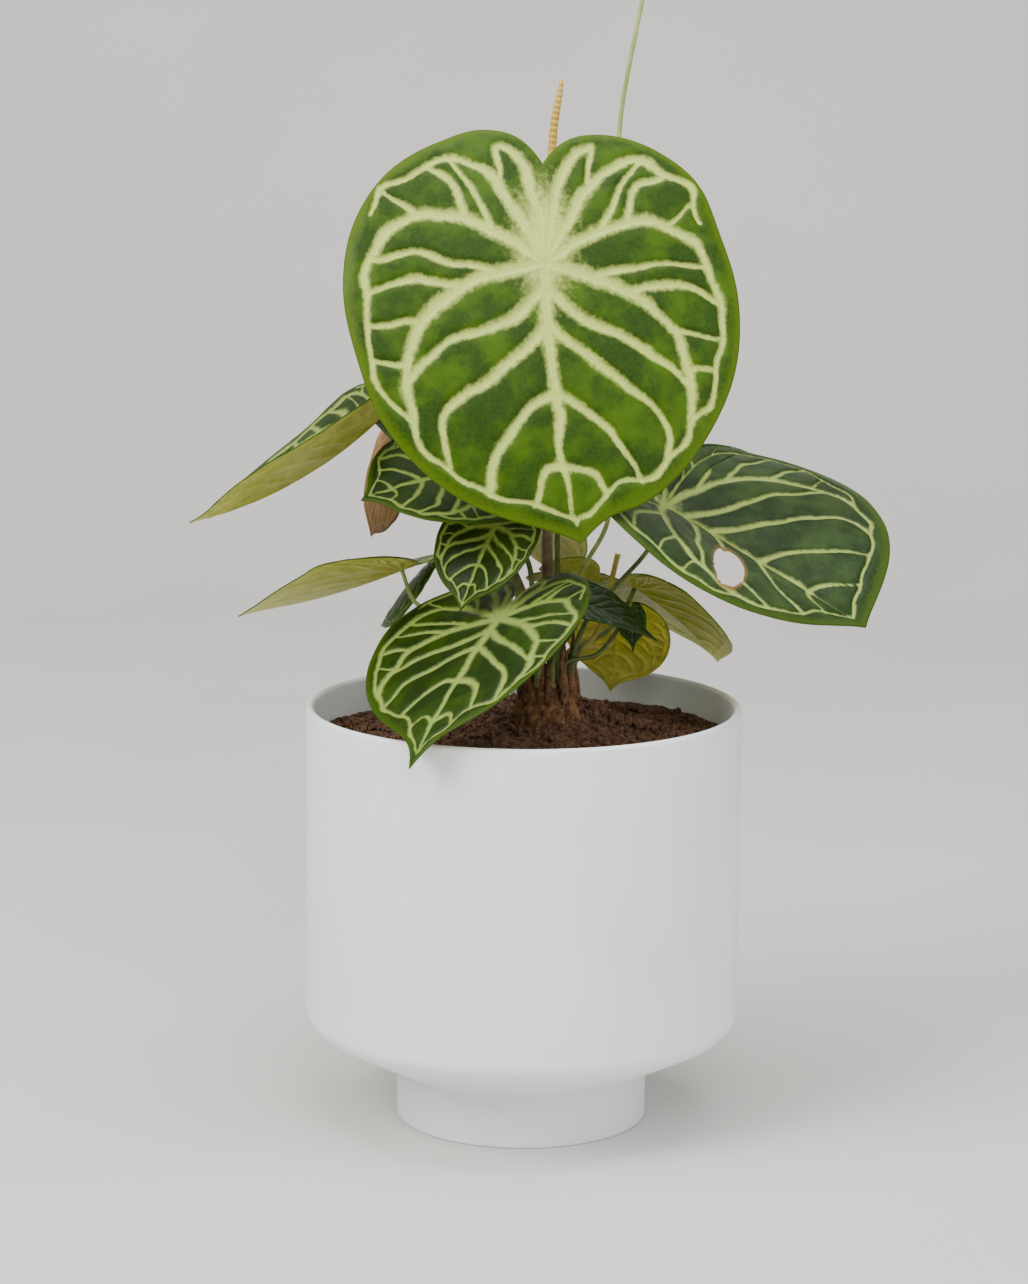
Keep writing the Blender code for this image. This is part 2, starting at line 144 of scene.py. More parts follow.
class Graph:
    """A few shorthands for building a node material."""

    def __init__(self, name: str) -> None:
        """Starts a material.

        Args:
            name: the new material's name.
        """
        self.material = bpy.data.materials.new(name)
        self.material.use_nodes = True
        self.tree = self.material.node_tree
        self.shader = self.tree.nodes["Principled BSDF"]
        self.coordinates = self.tree.nodes.new("ShaderNodeTexCoord").outputs["Object"]

    def link(self, source: Socket | float | tuple, socket: Socket) -> None:
        """Joins a source, or writes a constant, to an input socket.

        Args:
            source: an output socket or a constant.
            socket: the input socket.
        """
        if isinstance(source, bpy.types.NodeSocket):
            self.tree.links.new(source, socket)
        else:
            socket.default_value = source

    def attribute(self, name: str) -> Socket:
        """Reads a mesh attribute.

        Args:
            name: the attribute's name.

        Returns:
            Its value.
        """
        node = self.tree.nodes.new("ShaderNodeAttribute")
        node.attribute_name = name
        return node.outputs["Fac"]

    def noise(self, scale: float, detail: float = 3.0, rough: float = 0.55) -> Socket:
        """Makes noise from 0 to 1 in object coordinates.

        Args:
            scale: repeats per metre.
            detail: layers of finer noise.
            rough: strength of the finer layers.

        Returns:
            The noise.
        """
        node = self.tree.nodes.new("ShaderNodeTexNoise")
        self.link(self.coordinates, node.inputs["Vector"])
        node.inputs["Scale"].default_value = scale
        node.inputs["Detail"].default_value = detail
        node.inputs["Roughness"].default_value = rough
        return node.outputs["Fac"]

    def cells(self, scale: float) -> Socket:
        """Makes a pattern of cells.

        Args:
            scale: cells per metre.

        Returns:
            The distance to the nearest edge of a cell.
        """
        node = self.tree.nodes.new("ShaderNodeTexVoronoi")
        node.feature = "DISTANCE_TO_EDGE"
        self.link(self.coordinates, node.inputs["Vector"])
        node.inputs["Scale"].default_value = scale
        return node.outputs["Distance"]

    def math(self, operation: str, first: Socket | float, second: Socket | float = 0.0) -> Socket:
        """Works on one or two values.

        Args:
            operation: the operation's name.
            first: the first value.
            second: the second value.

        Returns:
            The result.
        """
        node = self.tree.nodes.new("ShaderNodeMath")
        node.operation = operation
        self.link(first, node.inputs[0])
        self.link(second, node.inputs[1])
        return node.outputs[0]

    def fade(self, value: Socket, low: float, high: float, start: float = 0.0, end: float = 1.0) -> Socket:
        """Makes a smooth step.

        Args:
            value: what is read.
            low: where the step starts.
            high: where it ends.
            start: the result up to low.
            end: the result from high.

        Returns:
            The result.
        """
        node = self.tree.nodes.new("ShaderNodeMapRange")
        node.interpolation_type = "SMOOTHSTEP"
        for socket, entry in zip(("Value", "From Min", "From Max", "To Min", "To Max"),
                                 (value, low, high, start, end)):
            self.link(entry, node.inputs[socket])
        return node.outputs["Result"]

    def mix(self, factor: Socket, first: Socket | Colour, second: Socket | Colour) -> Socket:
        """Mixes two colours.

        Args:
            factor: the share of the second colour.
            first: the first colour.
            second: the second colour.

        Returns:
            The mixed colour.
        """
        node = self.tree.nodes.new("ShaderNodeMix")
        node.data_type = "RGBA"
        self.link(factor, node.inputs[0])
        for socket, entry in ((node.inputs[6], first), (node.inputs[7], second)):
            self.link((*entry, 1.0) if isinstance(entry, tuple) else entry, socket)
        return node.outputs[2]

    def bump(self, height: Socket, strength: float, distance: float) -> None:
        """Turns a height into a bump on the shader.

        Args:
            height: the height.
            strength: how strongly it shows, up to 1.
            distance: its depth in metres.
        """
        node = self.tree.nodes.new("ShaderNodeBump")
        node.inputs["Strength"].default_value = strength
        node.inputs["Distance"].default_value = distance
        self.link(height, node.inputs["Height"])
        self.tree.links.new(node.outputs["Normal"], self.shader.inputs["Normal"])

    def finish(self, colour: Socket, roughness: Socket | float) -> Material:
        """Sets the colour and the roughness.

        Args:
            colour: the colour.
            roughness: the roughness.

        Returns:
            The finished material.
        """
        self.link(colour, self.shader.inputs["Base Color"])
        self.link(roughness, self.shader.inputs["Roughness"])
        return self.material


@dataclass(frozen=True)
class LeafFinish:
    """Both faces of a leaf: mottled green with pale veins above, dull with raised veins below."""
    base: Colour
    light: Colour              # the patches of fresher green
    margin: Colour
    vein: Colour
    line: Colour               # the thin line along the middle of a vein
    under: Colour
    under_light: Colour
    sheen: float
    halo: float                # strength of the pale bands
    dry_tip: float = 0.0       # how brown the tip is
    roughness: float = 0.5
    dry: Colour = (0.2, 0.1, 0.03)
    velvet: Point = (0.75, 0.9, 0.65, 1)

    def upper(self, graph: Graph) -> Material:
        """Makes the velvet upper face.

        Args:
            graph: the material's graph.

        Returns:
            The material.
        """
        share, offset, reach = (graph.attribute(n) for n in ("vein_share", "vein_offset", "reach"))
        mottle = graph.fade(graph.noise(70, 4, 0.6), 0.4, 0.68)
        green = graph.mix(mottle, self.base, self.light)
        fine = graph.noise(900, 3, 0.6)
        green = graph.mix(graph.fade(fine, 0.3, 0.8, 0.0, 0.35), green, self.light)
        margin = graph.fade(graph.math("ADD", reach, graph.math("MULTIPLY", fine, 0.05)), 0.96, 1.02)
        green = graph.mix(margin, green, self.margin)
        feather = graph.math("MULTIPLY", graph.math("SUBTRACT", graph.noise(420, 4, 0.7), 0.5), 1.5)
        ragged = graph.math("ADD", share, feather)
        band = graph.fade(ragged, 1.5, 0.2, 0.0, self.halo)
        veined = graph.mix(band, green, self.vein)
        thin = graph.fade(graph.math("ABSOLUTE", offset), LINE_WIDTH, 0.1)
        near = graph.fade(share, 0.9, 0.5)
        line = graph.math("MULTIPLY", thin, near)
        colour = graph.mix(graph.math("MULTIPLY", line, 0.75), veined, self.line)
        scar = graph.math("ADD", graph.attribute("scar"), graph.math("MULTIPLY", feather, 0.15))
        colour = graph.mix(graph.fade(scar, 0.3, 0.05, 0.0, self.dry_tip), colour, self.dry)
        grain = graph.math("ADD", graph.noise(1600, 2, 0.5), graph.cells(1300))
        graph.bump(graph.math("ADD", graph.math("MULTIPLY", line, 0.6), grain), 0.35, 0.0002)
        graph.shader.inputs["Sheen Weight"].default_value = self.sheen
        graph.shader.inputs["Sheen Roughness"].default_value = 0.4
        graph.shader.inputs["Sheen Tint"].default_value = self.velvet
        graph.shader.inputs["Specular IOR Level"].default_value = 0.14
        gloss = graph.fade(graph.noise(220, 3, 0.6), 0.2, 0.8, self.roughness - 0.08,
                           self.roughness + 0.12)
        return graph.finish(colour, gloss)

    def underside(self, graph: Graph) -> Material:
        """Makes the dull underside with raised veins.

        Args:
            graph: the material's graph.

        Returns:
            The material.
        """
        share, offset = graph.attribute("vein_share"), graph.attribute("vein_offset")
        patch = graph.fade(graph.noise(60, 4, 0.6), 0.35, 0.7)
        colour = graph.mix(patch, self.under, self.under_light)
        streak = graph.fade(graph.noise(300, 3, 0.6), 0.35, 0.75, 0.0, 0.3)
        colour = graph.mix(streak, colour, self.light)
        thin = graph.fade(graph.math("ABSOLUTE", offset), 0.7, 0.15)
        line = graph.math("MULTIPLY", thin, graph.fade(share, 0.9, 0.5))
        colour = graph.mix(graph.math("MULTIPLY", line, 0.5), colour, self.under_light)
        graph.bump(graph.math("ADD", line, graph.noise(1200, 3, 0.6)), 0.4, 0.0003)
        return graph.finish(colour, 0.55)


LEAF_FINISHES = {
    Look.BRIGHT: LeafFinish((0.013, 0.038, 0.0), (0.045, 0.1, 0.0), (0.06, 0.11, 0.0),
                            (0.47, 0.55, 0.13), (0.36, 0.47, 0.06), (0.3, 0.34, 0.04),
                            (0.44, 0.48, 0.08), 0.0, 1.0, roughness=0.4),
    Look.VELVET: LeafFinish((0.008, 0.023, 0.002), (0.03, 0.06, 0.01), (0.035, 0.07, 0.002),
                            (0.38, 0.47, 0.12), (0.26, 0.36, 0.06), (0.36, 0.37, 0.04),
                            (0.5, 0.48, 0.09), 0.06, 0.85, 0.8, 0.42),
    Look.DARK: LeafFinish((0.006, 0.019, 0.001), (0.02, 0.046, 0.001), (0.03, 0.065, 0.0),
                          (0.27, 0.36, 0.08), (0.22, 0.31, 0.05), (0.38, 0.4, 0.04),
                          (0.52, 0.52, 0.1), 0.02, 0.8, 0.8, 0.42),
    Look.MID: LeafFinish((0.016, 0.07, 0.005), (0.04, 0.12, 0.008), (0.06, 0.16, 0.008),
                         (0.2, 0.3, 0.08), (0.22, 0.32, 0.08), (0.4, 0.44, 0.03),
                         (0.56, 0.56, 0.09), 0.06, 0.4, roughness=0.48),
    Look.DEEP: LeafFinish((0.004, 0.02, 0.002), (0.01, 0.04, 0.004), (0.014, 0.05, 0.004),
                          (0.04, 0.085, 0.015), (0.06, 0.12, 0.02), (0.2, 0.24, 0.02),
                          (0.28, 0.32, 0.04), 0.03, 0.35, roughness=0.4),
    Look.PALE: LeafFinish((0.34, 0.4, 0.06), (0.46, 0.52, 0.12), (0.44, 0.48, 0.12),
                          (0.56, 0.6, 0.22), (0.5, 0.55, 0.2), (0.62, 0.6, 0.2),
                          (0.74, 0.7, 0.32), 0.05, 0.35),
    # Lime: the upper face is the leaf's own green; the underside colours are raised far above MID's to paint
    # the light that shines through these leaves from behind.
    Look.LIME_PAINTED_BACKLIGHT: LeafFinish((0.016, 0.05, 0.002), (0.04, 0.1, 0.004), (0.06, 0.13, 0.004),
                          (0.2, 0.3, 0.08), (0.22, 0.32, 0.08), (0.74, 0.72, 0.04),
                          (0.8, 0.78, 0.12), 0.0, 0.4, roughness=0.48),
    Look.TAN: LeafFinish((0.24, 0.12, 0.04), (0.36, 0.2, 0.07), (0.18, 0.09, 0.03),
                         (0.42, 0.28, 0.1), (0.34, 0.22, 0.08), (0.4, 0.24, 0.07),
                         (0.52, 0.34, 0.11), 0.05, 0.3, roughness=0.6),
}


@dataclass(frozen=True)
class StalkFinish:
    """A stalk's colours."""
    dark: Colour
    light: Colour
    husk: Colour               # the dry skin near the foot

    def dress(self, graph: Graph) -> Material:
        """Makes a stalk streaked along its length, with dry husk towards the foot.

        Args:
            graph: the material's graph.

        Returns:
            The material.
        """
        grain = graph.noise(160, 4, 0.6)
        colour = graph.mix(graph.fade(grain, 0.35, 0.68), self.dark, self.light)
        worn = graph.math("MULTIPLY", graph.noise(500, 3), 0.14)
        dry = graph.fade(graph.math("ADD", graph.attribute("reach"), worn), 0.28, 0.1)
        colour = graph.mix(dry, colour, self.husk)
        graph.bump(graph.noise(900, 4, 0.65), 0.5, 0.0003)
        return graph.finish(colour, graph.fade(grain, 0.3, 0.7, 0.38, 0.6))


STALK_FINISHES = {
    StalkLook.GREEN: StalkFinish((0.05, 0.08, 0.012), (0.13, 0.19, 0.03), (0.16, 0.1, 0.035)),
    StalkLook.PALE: StalkFinish((0.2, 0.26, 0.05), (0.34, 0.4, 0.12), (0.2, 0.17, 0.05)),
    StalkLook.BROWN: StalkFinish((0.07, 0.035, 0.014), (0.2, 0.13, 0.045), (0.09, 0.045, 0.02)),
    StalkLook.YELLOW: StalkFinish((0.36, 0.3, 0.04), (0.46, 0.4, 0.08), (0.3, 0.11, 0.025)),
}


@dataclass(frozen=True)
class CeramicFinish:
    """Matte white ceramic with a faint speckle."""
    shade: Colour = (0.76, 0.79, 0.81)
    white: Colour = (0.8, 0.83, 0.845)
    speck: Colour = (0.62, 0.64, 0.65)

    def dress(self, graph: Graph) -> Material:
        """Makes the ceramic.

        Args:
            graph: the material's graph.

        Returns:
            The material.
        """
        cloud = graph.fade(graph.noise(22, 3, 0.5), 0.3, 0.7)
        colour = graph.mix(cloud, self.shade, self.white)
        speck = graph.fade(graph.noise(2200, 2, 0.5), 0.72, 0.8, 0.0, 0.25)
        colour = graph.mix(speck, colour, self.speck)
        graph.bump(graph.math("ADD", graph.noise(900, 4, 0.6), graph.noise(60, 2, 0.5)), 0.12, 0.0004)
        graph.shader.inputs["Specular IOR Level"].default_value = 0.35
        return graph.finish(colour, graph.fade(graph.noise(140, 3, 0.6), 0.2, 0.8, 0.55, 0.68))


@dataclass(frozen=True)
class EarthFinish:
    """Damp, crumbly potting mix."""
    dark: Colour = (0.045, 0.02, 0.009)
    light: Colour = (0.22, 0.105, 0.055)
    dry: Colour = (0.2, 0.11, 0.06)

    def dress(self, graph: Graph) -> Material:
        """Makes the potting mix.

        Args:
            graph: the material's graph.

        Returns:
            The material.
        """
        grain = graph.noise(700, 5, 0.7)
        colour = graph.mix(graph.fade(grain, 0.35, 0.68), self.dark, self.light)
        pale = graph.fade(graph.noise(1500, 2, 0.5), 0.7, 0.78, 0.0, 0.5)
        colour = graph.mix(pale, colour, self.dry)
        graph.bump(graph.math("ADD", grain, graph.cells(900)), 0.9, 0.0008)
        return graph.finish(colour, 0.92)


@dataclass(frozen=True)
class FibreFinish:
    """Brown fibre of the crown."""
    dark: Colour = (0.045, 0.019, 0.007)
    light: Colour = (0.28, 0.13, 0.05)

    def dress(self, graph: Graph) -> Material:
        """Makes the fibre.

        Args:
            graph: the material's graph.

        Returns:
            The material.
        """
        strand = graph.noise(420, 5, 0.7)
        colour = graph.mix(graph.fade(strand, 0.32, 0.7), self.dark, self.light)
        graph.bump(strand, 0.9, 0.0009)
        return graph.finish(colour, 0.85)


@dataclass(frozen=True)
class SpadixFinish:
    """Seeding spadix: orange knobs with darker joints."""
    joint: Colour = (0.3, 0.16, 0.015)
    knob: Colour = (0.66, 0.45, 0.07)
    bloom: Colour = (0.5, 0.36, 0.13)

    def dress(self, graph: Graph) -> Material:
        """Makes the spadix.

        Args:
            graph: the material's graph.

        Returns:
            The material.
        """
        colour = graph.mix(graph.fade(graph.attribute("knob"), 0.1, 0.75), self.joint, self.knob)
        colour = graph.mix(graph.fade(graph.noise(300, 3), 0.45, 0.75, 0.0, 0.5), colour, self.bloom)
        graph.bump(graph.noise(1800, 2), 0.2, 0.0002)
        return graph.finish(colour, 0.5)


@dataclass(frozen=True)
class FloorFinish:
    """Plain pale floor."""
    dark: Colour = (0.6, 0.58, 0.55)
    light: Colour = (0.64, 0.62, 0.59)

    def dress(self, graph: Graph) -> Material:
        """Makes the floor's material.

        Args:
            graph: the material's graph.

        Returns:
            The material.
        """
        cloud = graph.fade(graph.noise(3, 3), 0.3, 0.7)
        return graph.finish(graph.mix(cloud, self.dark, self.light), 0.8)


@dataclass(frozen=True)
class Leaf:
    """One heart-shaped blade; shares are of its length, angles are in degrees."""
    name: str
    look: Look
    base: Point                # where the stalk meets the blade
    heading: float             # compass direction of the tip: 0 is the front, 90 is +X
    rise: float                # slope of the blade's axis at the base
    roll: float
    length: float              # from the base to the tip
    left: float = 1.0
    right: float = 1.0
    lobes: float = 1.0
    sway: float = 0.0
    fold_left: float = 5.0
    fold_right: float = 5.0
    curl: float = -10.0
    arch: float = 20.0
    lobe_droop: float = 10.0
    twist: float = 0.0
    tip: float = 0.12
    sinus: float = 0.3
    outline_left: Point = ()
    outline_right: Point = ()
    columns: int = 260
    rows: int = 64
    relief: float = 0.35       # height of the cushions between the veins
    ripple: float = 0.4        # waviness of the edge
    bands: float = 1.0         # width of the pale bands
    patch: float = 0.45        # size of the pale patch round the stalk
    hole: Point = ()           # its centre and both half-axes, across and along


@dataclass(frozen=True)
class Stalk:
    """A leaf stalk from the crown to a blade, through the points of its route."""
    leaf: str
    foot: Point                # compass direction and distance from the crown's centre
    radius: float
    lead: float                # straight run that meets the blade square
    rise: float = 7.0
    route: tuple[Point, ...] = ()
    taper: float = 0.8
    finish: StalkLook = StalkLook.GREEN


LEAVES = (
    Leaf("leaf_tall", Look.BRIGHT, (6, -31, 319.6), 2, -68, -5, 99, sway=-0.14, fold_left=-2,
         fold_right=-2, curl=-8, arch=14, lobe_droop=14, tip=0.05, columns=400, rows=108, relief=0.9,
         bands=0.85, patch=1.0,
         outline_left=(1, 0.95, 0.94, 0.90, 0.85, 0.81, 0.755, 0.70, 0.70, 0.65, 0.585, 0.51, 0.40),
         outline_right=(1, 1.0, 1.0, 0.98, 0.91, 0.81, 0.76, 0.73, 0.69, 0.63, 0.59, 0.52, 0.40)),
    Leaf("leaf_right", Look.VELVET, (50.5, 4, 228), 64, -24.5, 3, 85.5, left=1.18, right=0.96,
         lobes=0.35, sway=-0.11, fold_left=23.5, fold_right=22.5, curl=-28, arch=10.5, lobe_droop=0,
         twist=-19, tip=0.04, columns=400, rows=108, bands=0.6, relief=0.7, patch=0.6,
         hole=(27, 39, 12.6, 7.2, -6, 3.6)),
    Leaf("leaf_left", Look.DARK, (-54.5, 15, 257.5), -75, -42, 3, 79, left=0.8, right=0.75,
         lobes=0.35, fold_left=25, fold_right=17, arch=-30, lobe_droop=5, twist=-8, tip=0.1),
    Leaf("leaf_left_low", Look.DARK, (-45, 5, 204), -123.5, -23, 2, 75.5, right=0.5, lobes=0.35,
         sway=0.04, fold_left=13, fold_right=12, curl=-14, arch=-9, twist=15, tip=0.08),
    Leaf("leaf_left_inner", Look.DARK, (-19, -14, 242.5), -61, 0, -28, 44, lobes=0.6, fold_left=4,
         fold_right=6, curl=-12, arch=23, twist=-3, tip=0.11),
    Leaf("leaf_left_hanging", Look.TAN, (-46.7, 44, 247.2), 249, -64, -34, 41.2, sway=0.02,
         fold_left=4, fold_right=8, curl=-19, arch=17, twist=6, tip=0.08),
    Leaf("leaf_left_back", Look.LIME_PAINTED_BACKLIGHT, (-34.1, 28, 203.5), 235, -43, -22, 37.5, lobes=0.4,
         fold_left=0, curl=-21, arch=10, twist=5, tip=0.11),
    Leaf("leaf_middle", Look.DARK, (-10.5, -22, 224.5), -42, -52, -4, 34, lobes=0.6, fold_left=7,
         fold_right=8, curl=-6, arch=10, twist=2, tip=0.14),
    Leaf("leaf_front", Look.DARK, (-9.5, -40, 194), -28, -28, 6, 72, left=0.85, right=1.12,
         lobes=0.95, sway=0.07, fold_left=1, fold_right=-8, curl=7, arch=17.5, lobe_droop=7.5,
         twist=-6, tip=0.20, sinus=0.2, columns=360, rows=96, bands=0.78, relief=0.6),
    Leaf("leaf_front_right", Look.DEEP, (21, -15, 195.5), 87, -16, 14, 30.5, fold_left=1,
         fold_right=7, curl=3, arch=23, lobe_droop=11, twist=11, tip=0.14),
    Leaf("leaf_young", Look.DEEP, (39, 2, 188), 15, -74, 0, 13.5, left=0.8, right=0.8, arch=5,
         tip=0.3, columns=120, rows=30, relief=0.1, ripple=0.1),
    Leaf("leaf_right_hanging", Look.LIME_PAINTED_BACKLIGHT, (35.5, 40, 178), 184, -54, 16, 33, fold_right=2, curl=-15,
         arch=17, twist=-1, tip=0.16),
    Leaf("leaf_right_back", Look.MID, (41.2, 30, 193.6), 119.5, -31, -6, 49.2, right=1.02,
         lobes=0.4, sway=-0.02, fold_left=10, fold_right=16, curl=-35, arch=18, lobe_droop=7,
         twist=-12, tip=0.05),
    Leaf("leaf_back_small", Look.MID, (11.5, 21, 201.1), 122, -6, -27, 21, fold_right=8, curl=-7,
         lobe_droop=9, twist=3, tip=0.16, columns=160, rows=40, relief=0.2, ripple=0.2),
    Leaf("leaf_back_pale", Look.PALE, (9.5, 40, 216.5), 163, -58, 9, 26, left=0.91, right=0.9,
         fold_left=2, fold_right=0, curl=-17, arch=5, twist=1, columns=160, rows=40, relief=0.2),
)

SPATHES = (
    Leaf("spathe", Look.MID, (8, 25, 321), 180, -62, 0, 36, left=0.3, right=0.3, lobes=0.1,
         curl=-40, arch=25, lobe_droop=0, tip=0.2, columns=120, rows=40, relief=0.1, ripple=0.2),
    Leaf("young_spathe", Look.PALE, (43.2, 25, 424.5), 170, 52, 0, 34, left=0.28, right=0.28,
         lobes=0.1, curl=30, arch=-20, lobe_droop=0, tip=0.2, columns=120, rows=40, relief=0.1,
         ripple=0.2),
)

STALKS = (
    Stalk("leaf_tall", (-115, 3.6), 2.4, 12, route=((8, 3, 190), (8, 3, 215), (8, -5, 270)),
          taper=0.7, finish=StalkLook.BROWN),
    Stalk("leaf_right", (66, 9.3), 1.0, 8, route=((22.5, 0, 186), (32, 8, 196.5), (45, 6, 212))),
    Stalk("leaf_left", (-102, 9.3), 1.4, 10, route=((-6, 8, 205), (-30, 4, 234))),
    Stalk("leaf_left_low", (-122, 9.3), 0.9, 8, finish=StalkLook.PALE),
    Stalk("leaf_left_inner", (-79, 9.3), 1.2, 8, route=((-4, 0, 205), (-14, -1, 228))),
    Stalk("leaf_left_hanging", (-162, 9.3), 1.1, 8, route=((-5, 16, 205), (-26, 30, 238)),
          finish=StalkLook.BROWN),
    Stalk("leaf_left_back", (-142, 9.3), 1.0, 8),
    Stalk("leaf_middle", (-54, 9.3), 1.1, 8, route=((2, -2, 205),)),
    Stalk("leaf_front", (-25, 9.3), 1.5, 8),
    Stalk("leaf_front_right", (8, 9.3), 1.1, 6),
    Stalk("leaf_young", (38, 9.3), 0.9, 4, route=((27, -4, 175),)),
    Stalk("leaf_right_hanging", (137, 9.3), 1.0, 8, finish=StalkLook.YELLOW),
    Stalk("leaf_right_back", (114, 9.3), 1.0, 8, route=((31.7, 15, 181),)),
    Stalk("leaf_back_small", (157, 9.3), 0.9, 6),
    Stalk("leaf_back_pale", (178, 9.3), 1.0, 6, route=((9, 20, 180), (8.5, 38, 199)),
          finish=StalkLook.PALE),
)

SPADIX_ROUTE = ((8, 22, 319.4), (8.2, 22, 338), (8.7, 22, 356), (10, 22, 369), (12.1, 22, 381))
YOUNG_SPADIX_ROUTE = ((43.1, 22, 422.4), (44.6, 22, 436), (46.2, 22, 450), (48, 22, 464))
SPADIX_PROFILE = (0.8, 1.0, 1.0, 0.95, 0.85, 0.45)


@dataclass(frozen=True)
class FreeStalk:
    """A stalk that ends in the open: both flower stalks and the old leaf stalk."""
    name: str
    foot: Point
    rise: float
    route: tuple[Point, ...]
    radius: float
    taper: float
    finish: StalkLook


FREE_STALKS = (
    FreeStalk("flower_stalk", (150, 3.6), 8, ((12, 8, 209), (10, 20, 270), (8.5, 22, 305), (8, 22, 319)),
              1.1, 1.0, StalkLook.GREEN),
    FreeStalk("young_flower_stalk", (60, 3.6), 8,
              ((20, 5, 202), (30, 6, 222), (30, 4, 245), (33, 8, 300), (33, 20, 362), (38.3, 22, 397),
               (43, 22, 422)), 0.95, 0.8, StalkLook.PALE),
    FreeStalk("old_stalk", (91, 9.3), 5, ((27.3, 4, 183), (31.4, 13, 196.5), (34.3, 15, 209)),
              1.0, 1.0, StalkLook.YELLOW),
)


def smooth_value(steps: Sequence[float], values: Sequence[float], at: Array) -> Array:
    """Reads a smooth curve through points.

    Args:
        steps: positions of the points, rising.
        values: values at the points.
        at: array of positions to read.

    Returns:
        The values there, as an array.
    """
    steps, values = np.asarray(steps, float), np.asarray(values, float)
    spans = np.diff(steps)
    slopes = np.diff(values) / spans
    tangents = np.empty_like(values)
    tangents[1:-1] = (spans[1:] * slopes[:-1] + spans[:-1] * slopes[1:]) / (spans[1:] + spans[:-1])
    tangents[0], tangents[-1] = slopes[0], slopes[-1]
    index = np.clip(np.searchsorted(steps, at) - 1, 0, len(spans) - 1)
    t = (at - steps[index]) / spans[index]
    low = (1 + 2 * t) * (1 - t) ** 2 * values[index] + t * (1 - t) ** 2 * spans[index] * tangents[index]
    high = (t * t * (3 - 2 * t) * values[index + 1]
            + t * t * (t - 1) * spans[index] * tangents[index + 1])
    return low + high


def smooth_route(points: Sequence[Point], samples: int) -> list[Vector]:
    """Points on a smooth curve through a route whose first and last runs are straight.

    Args:
        points: the route's points.
        samples: pieces between two points.

    Returns:
        The points as a list of vectors.
    """
    knots = [Vector(p) for p in points]
    first, last = (knots[1] - knots[0]).normalized(), (knots[-1] - knots[-2]).normalized()
    inner = [(after - before).normalized() for before, after in zip(knots[1:], knots[3:-1])]
    headings = [first] + inner + [last]
    route = [knots[0].lerp(knots[1], step / samples) for step in range(samples)]
    for start, end, leave, arrive in zip(knots[1:-1], knots[2:-1], headings, headings[1:]):
        reach = (end - start).length
        for step in range(samples):
            t = step / samples
            route.append((1 + 2 * t) * (1 - t) ** 2 * start + t * (1 - t) ** 2 * reach * leave
                         + t * t * (3 - 2 * t) * end + t * t * (t - 1) * reach * arrive)
    return route + [knots[-2].lerp(knots[-1], step / samples) for step in range(samples + 1)]


def ripples(points: Array, scale: float, seed: float) -> Array:
    """Smooth noise at each point.

    Args:
        points: array of positions, one row each, in millimetres.
        scale: size of the noise in millimetres.
        seed: shifts the pattern.

    Returns:
        Values from about -1 to 1.
    """
    shift = Vector((seed * 7.3, seed * 3.1, seed * 5.7))
    return np.array([noise.noise(Vector(p) / scale + shift) for p in points])


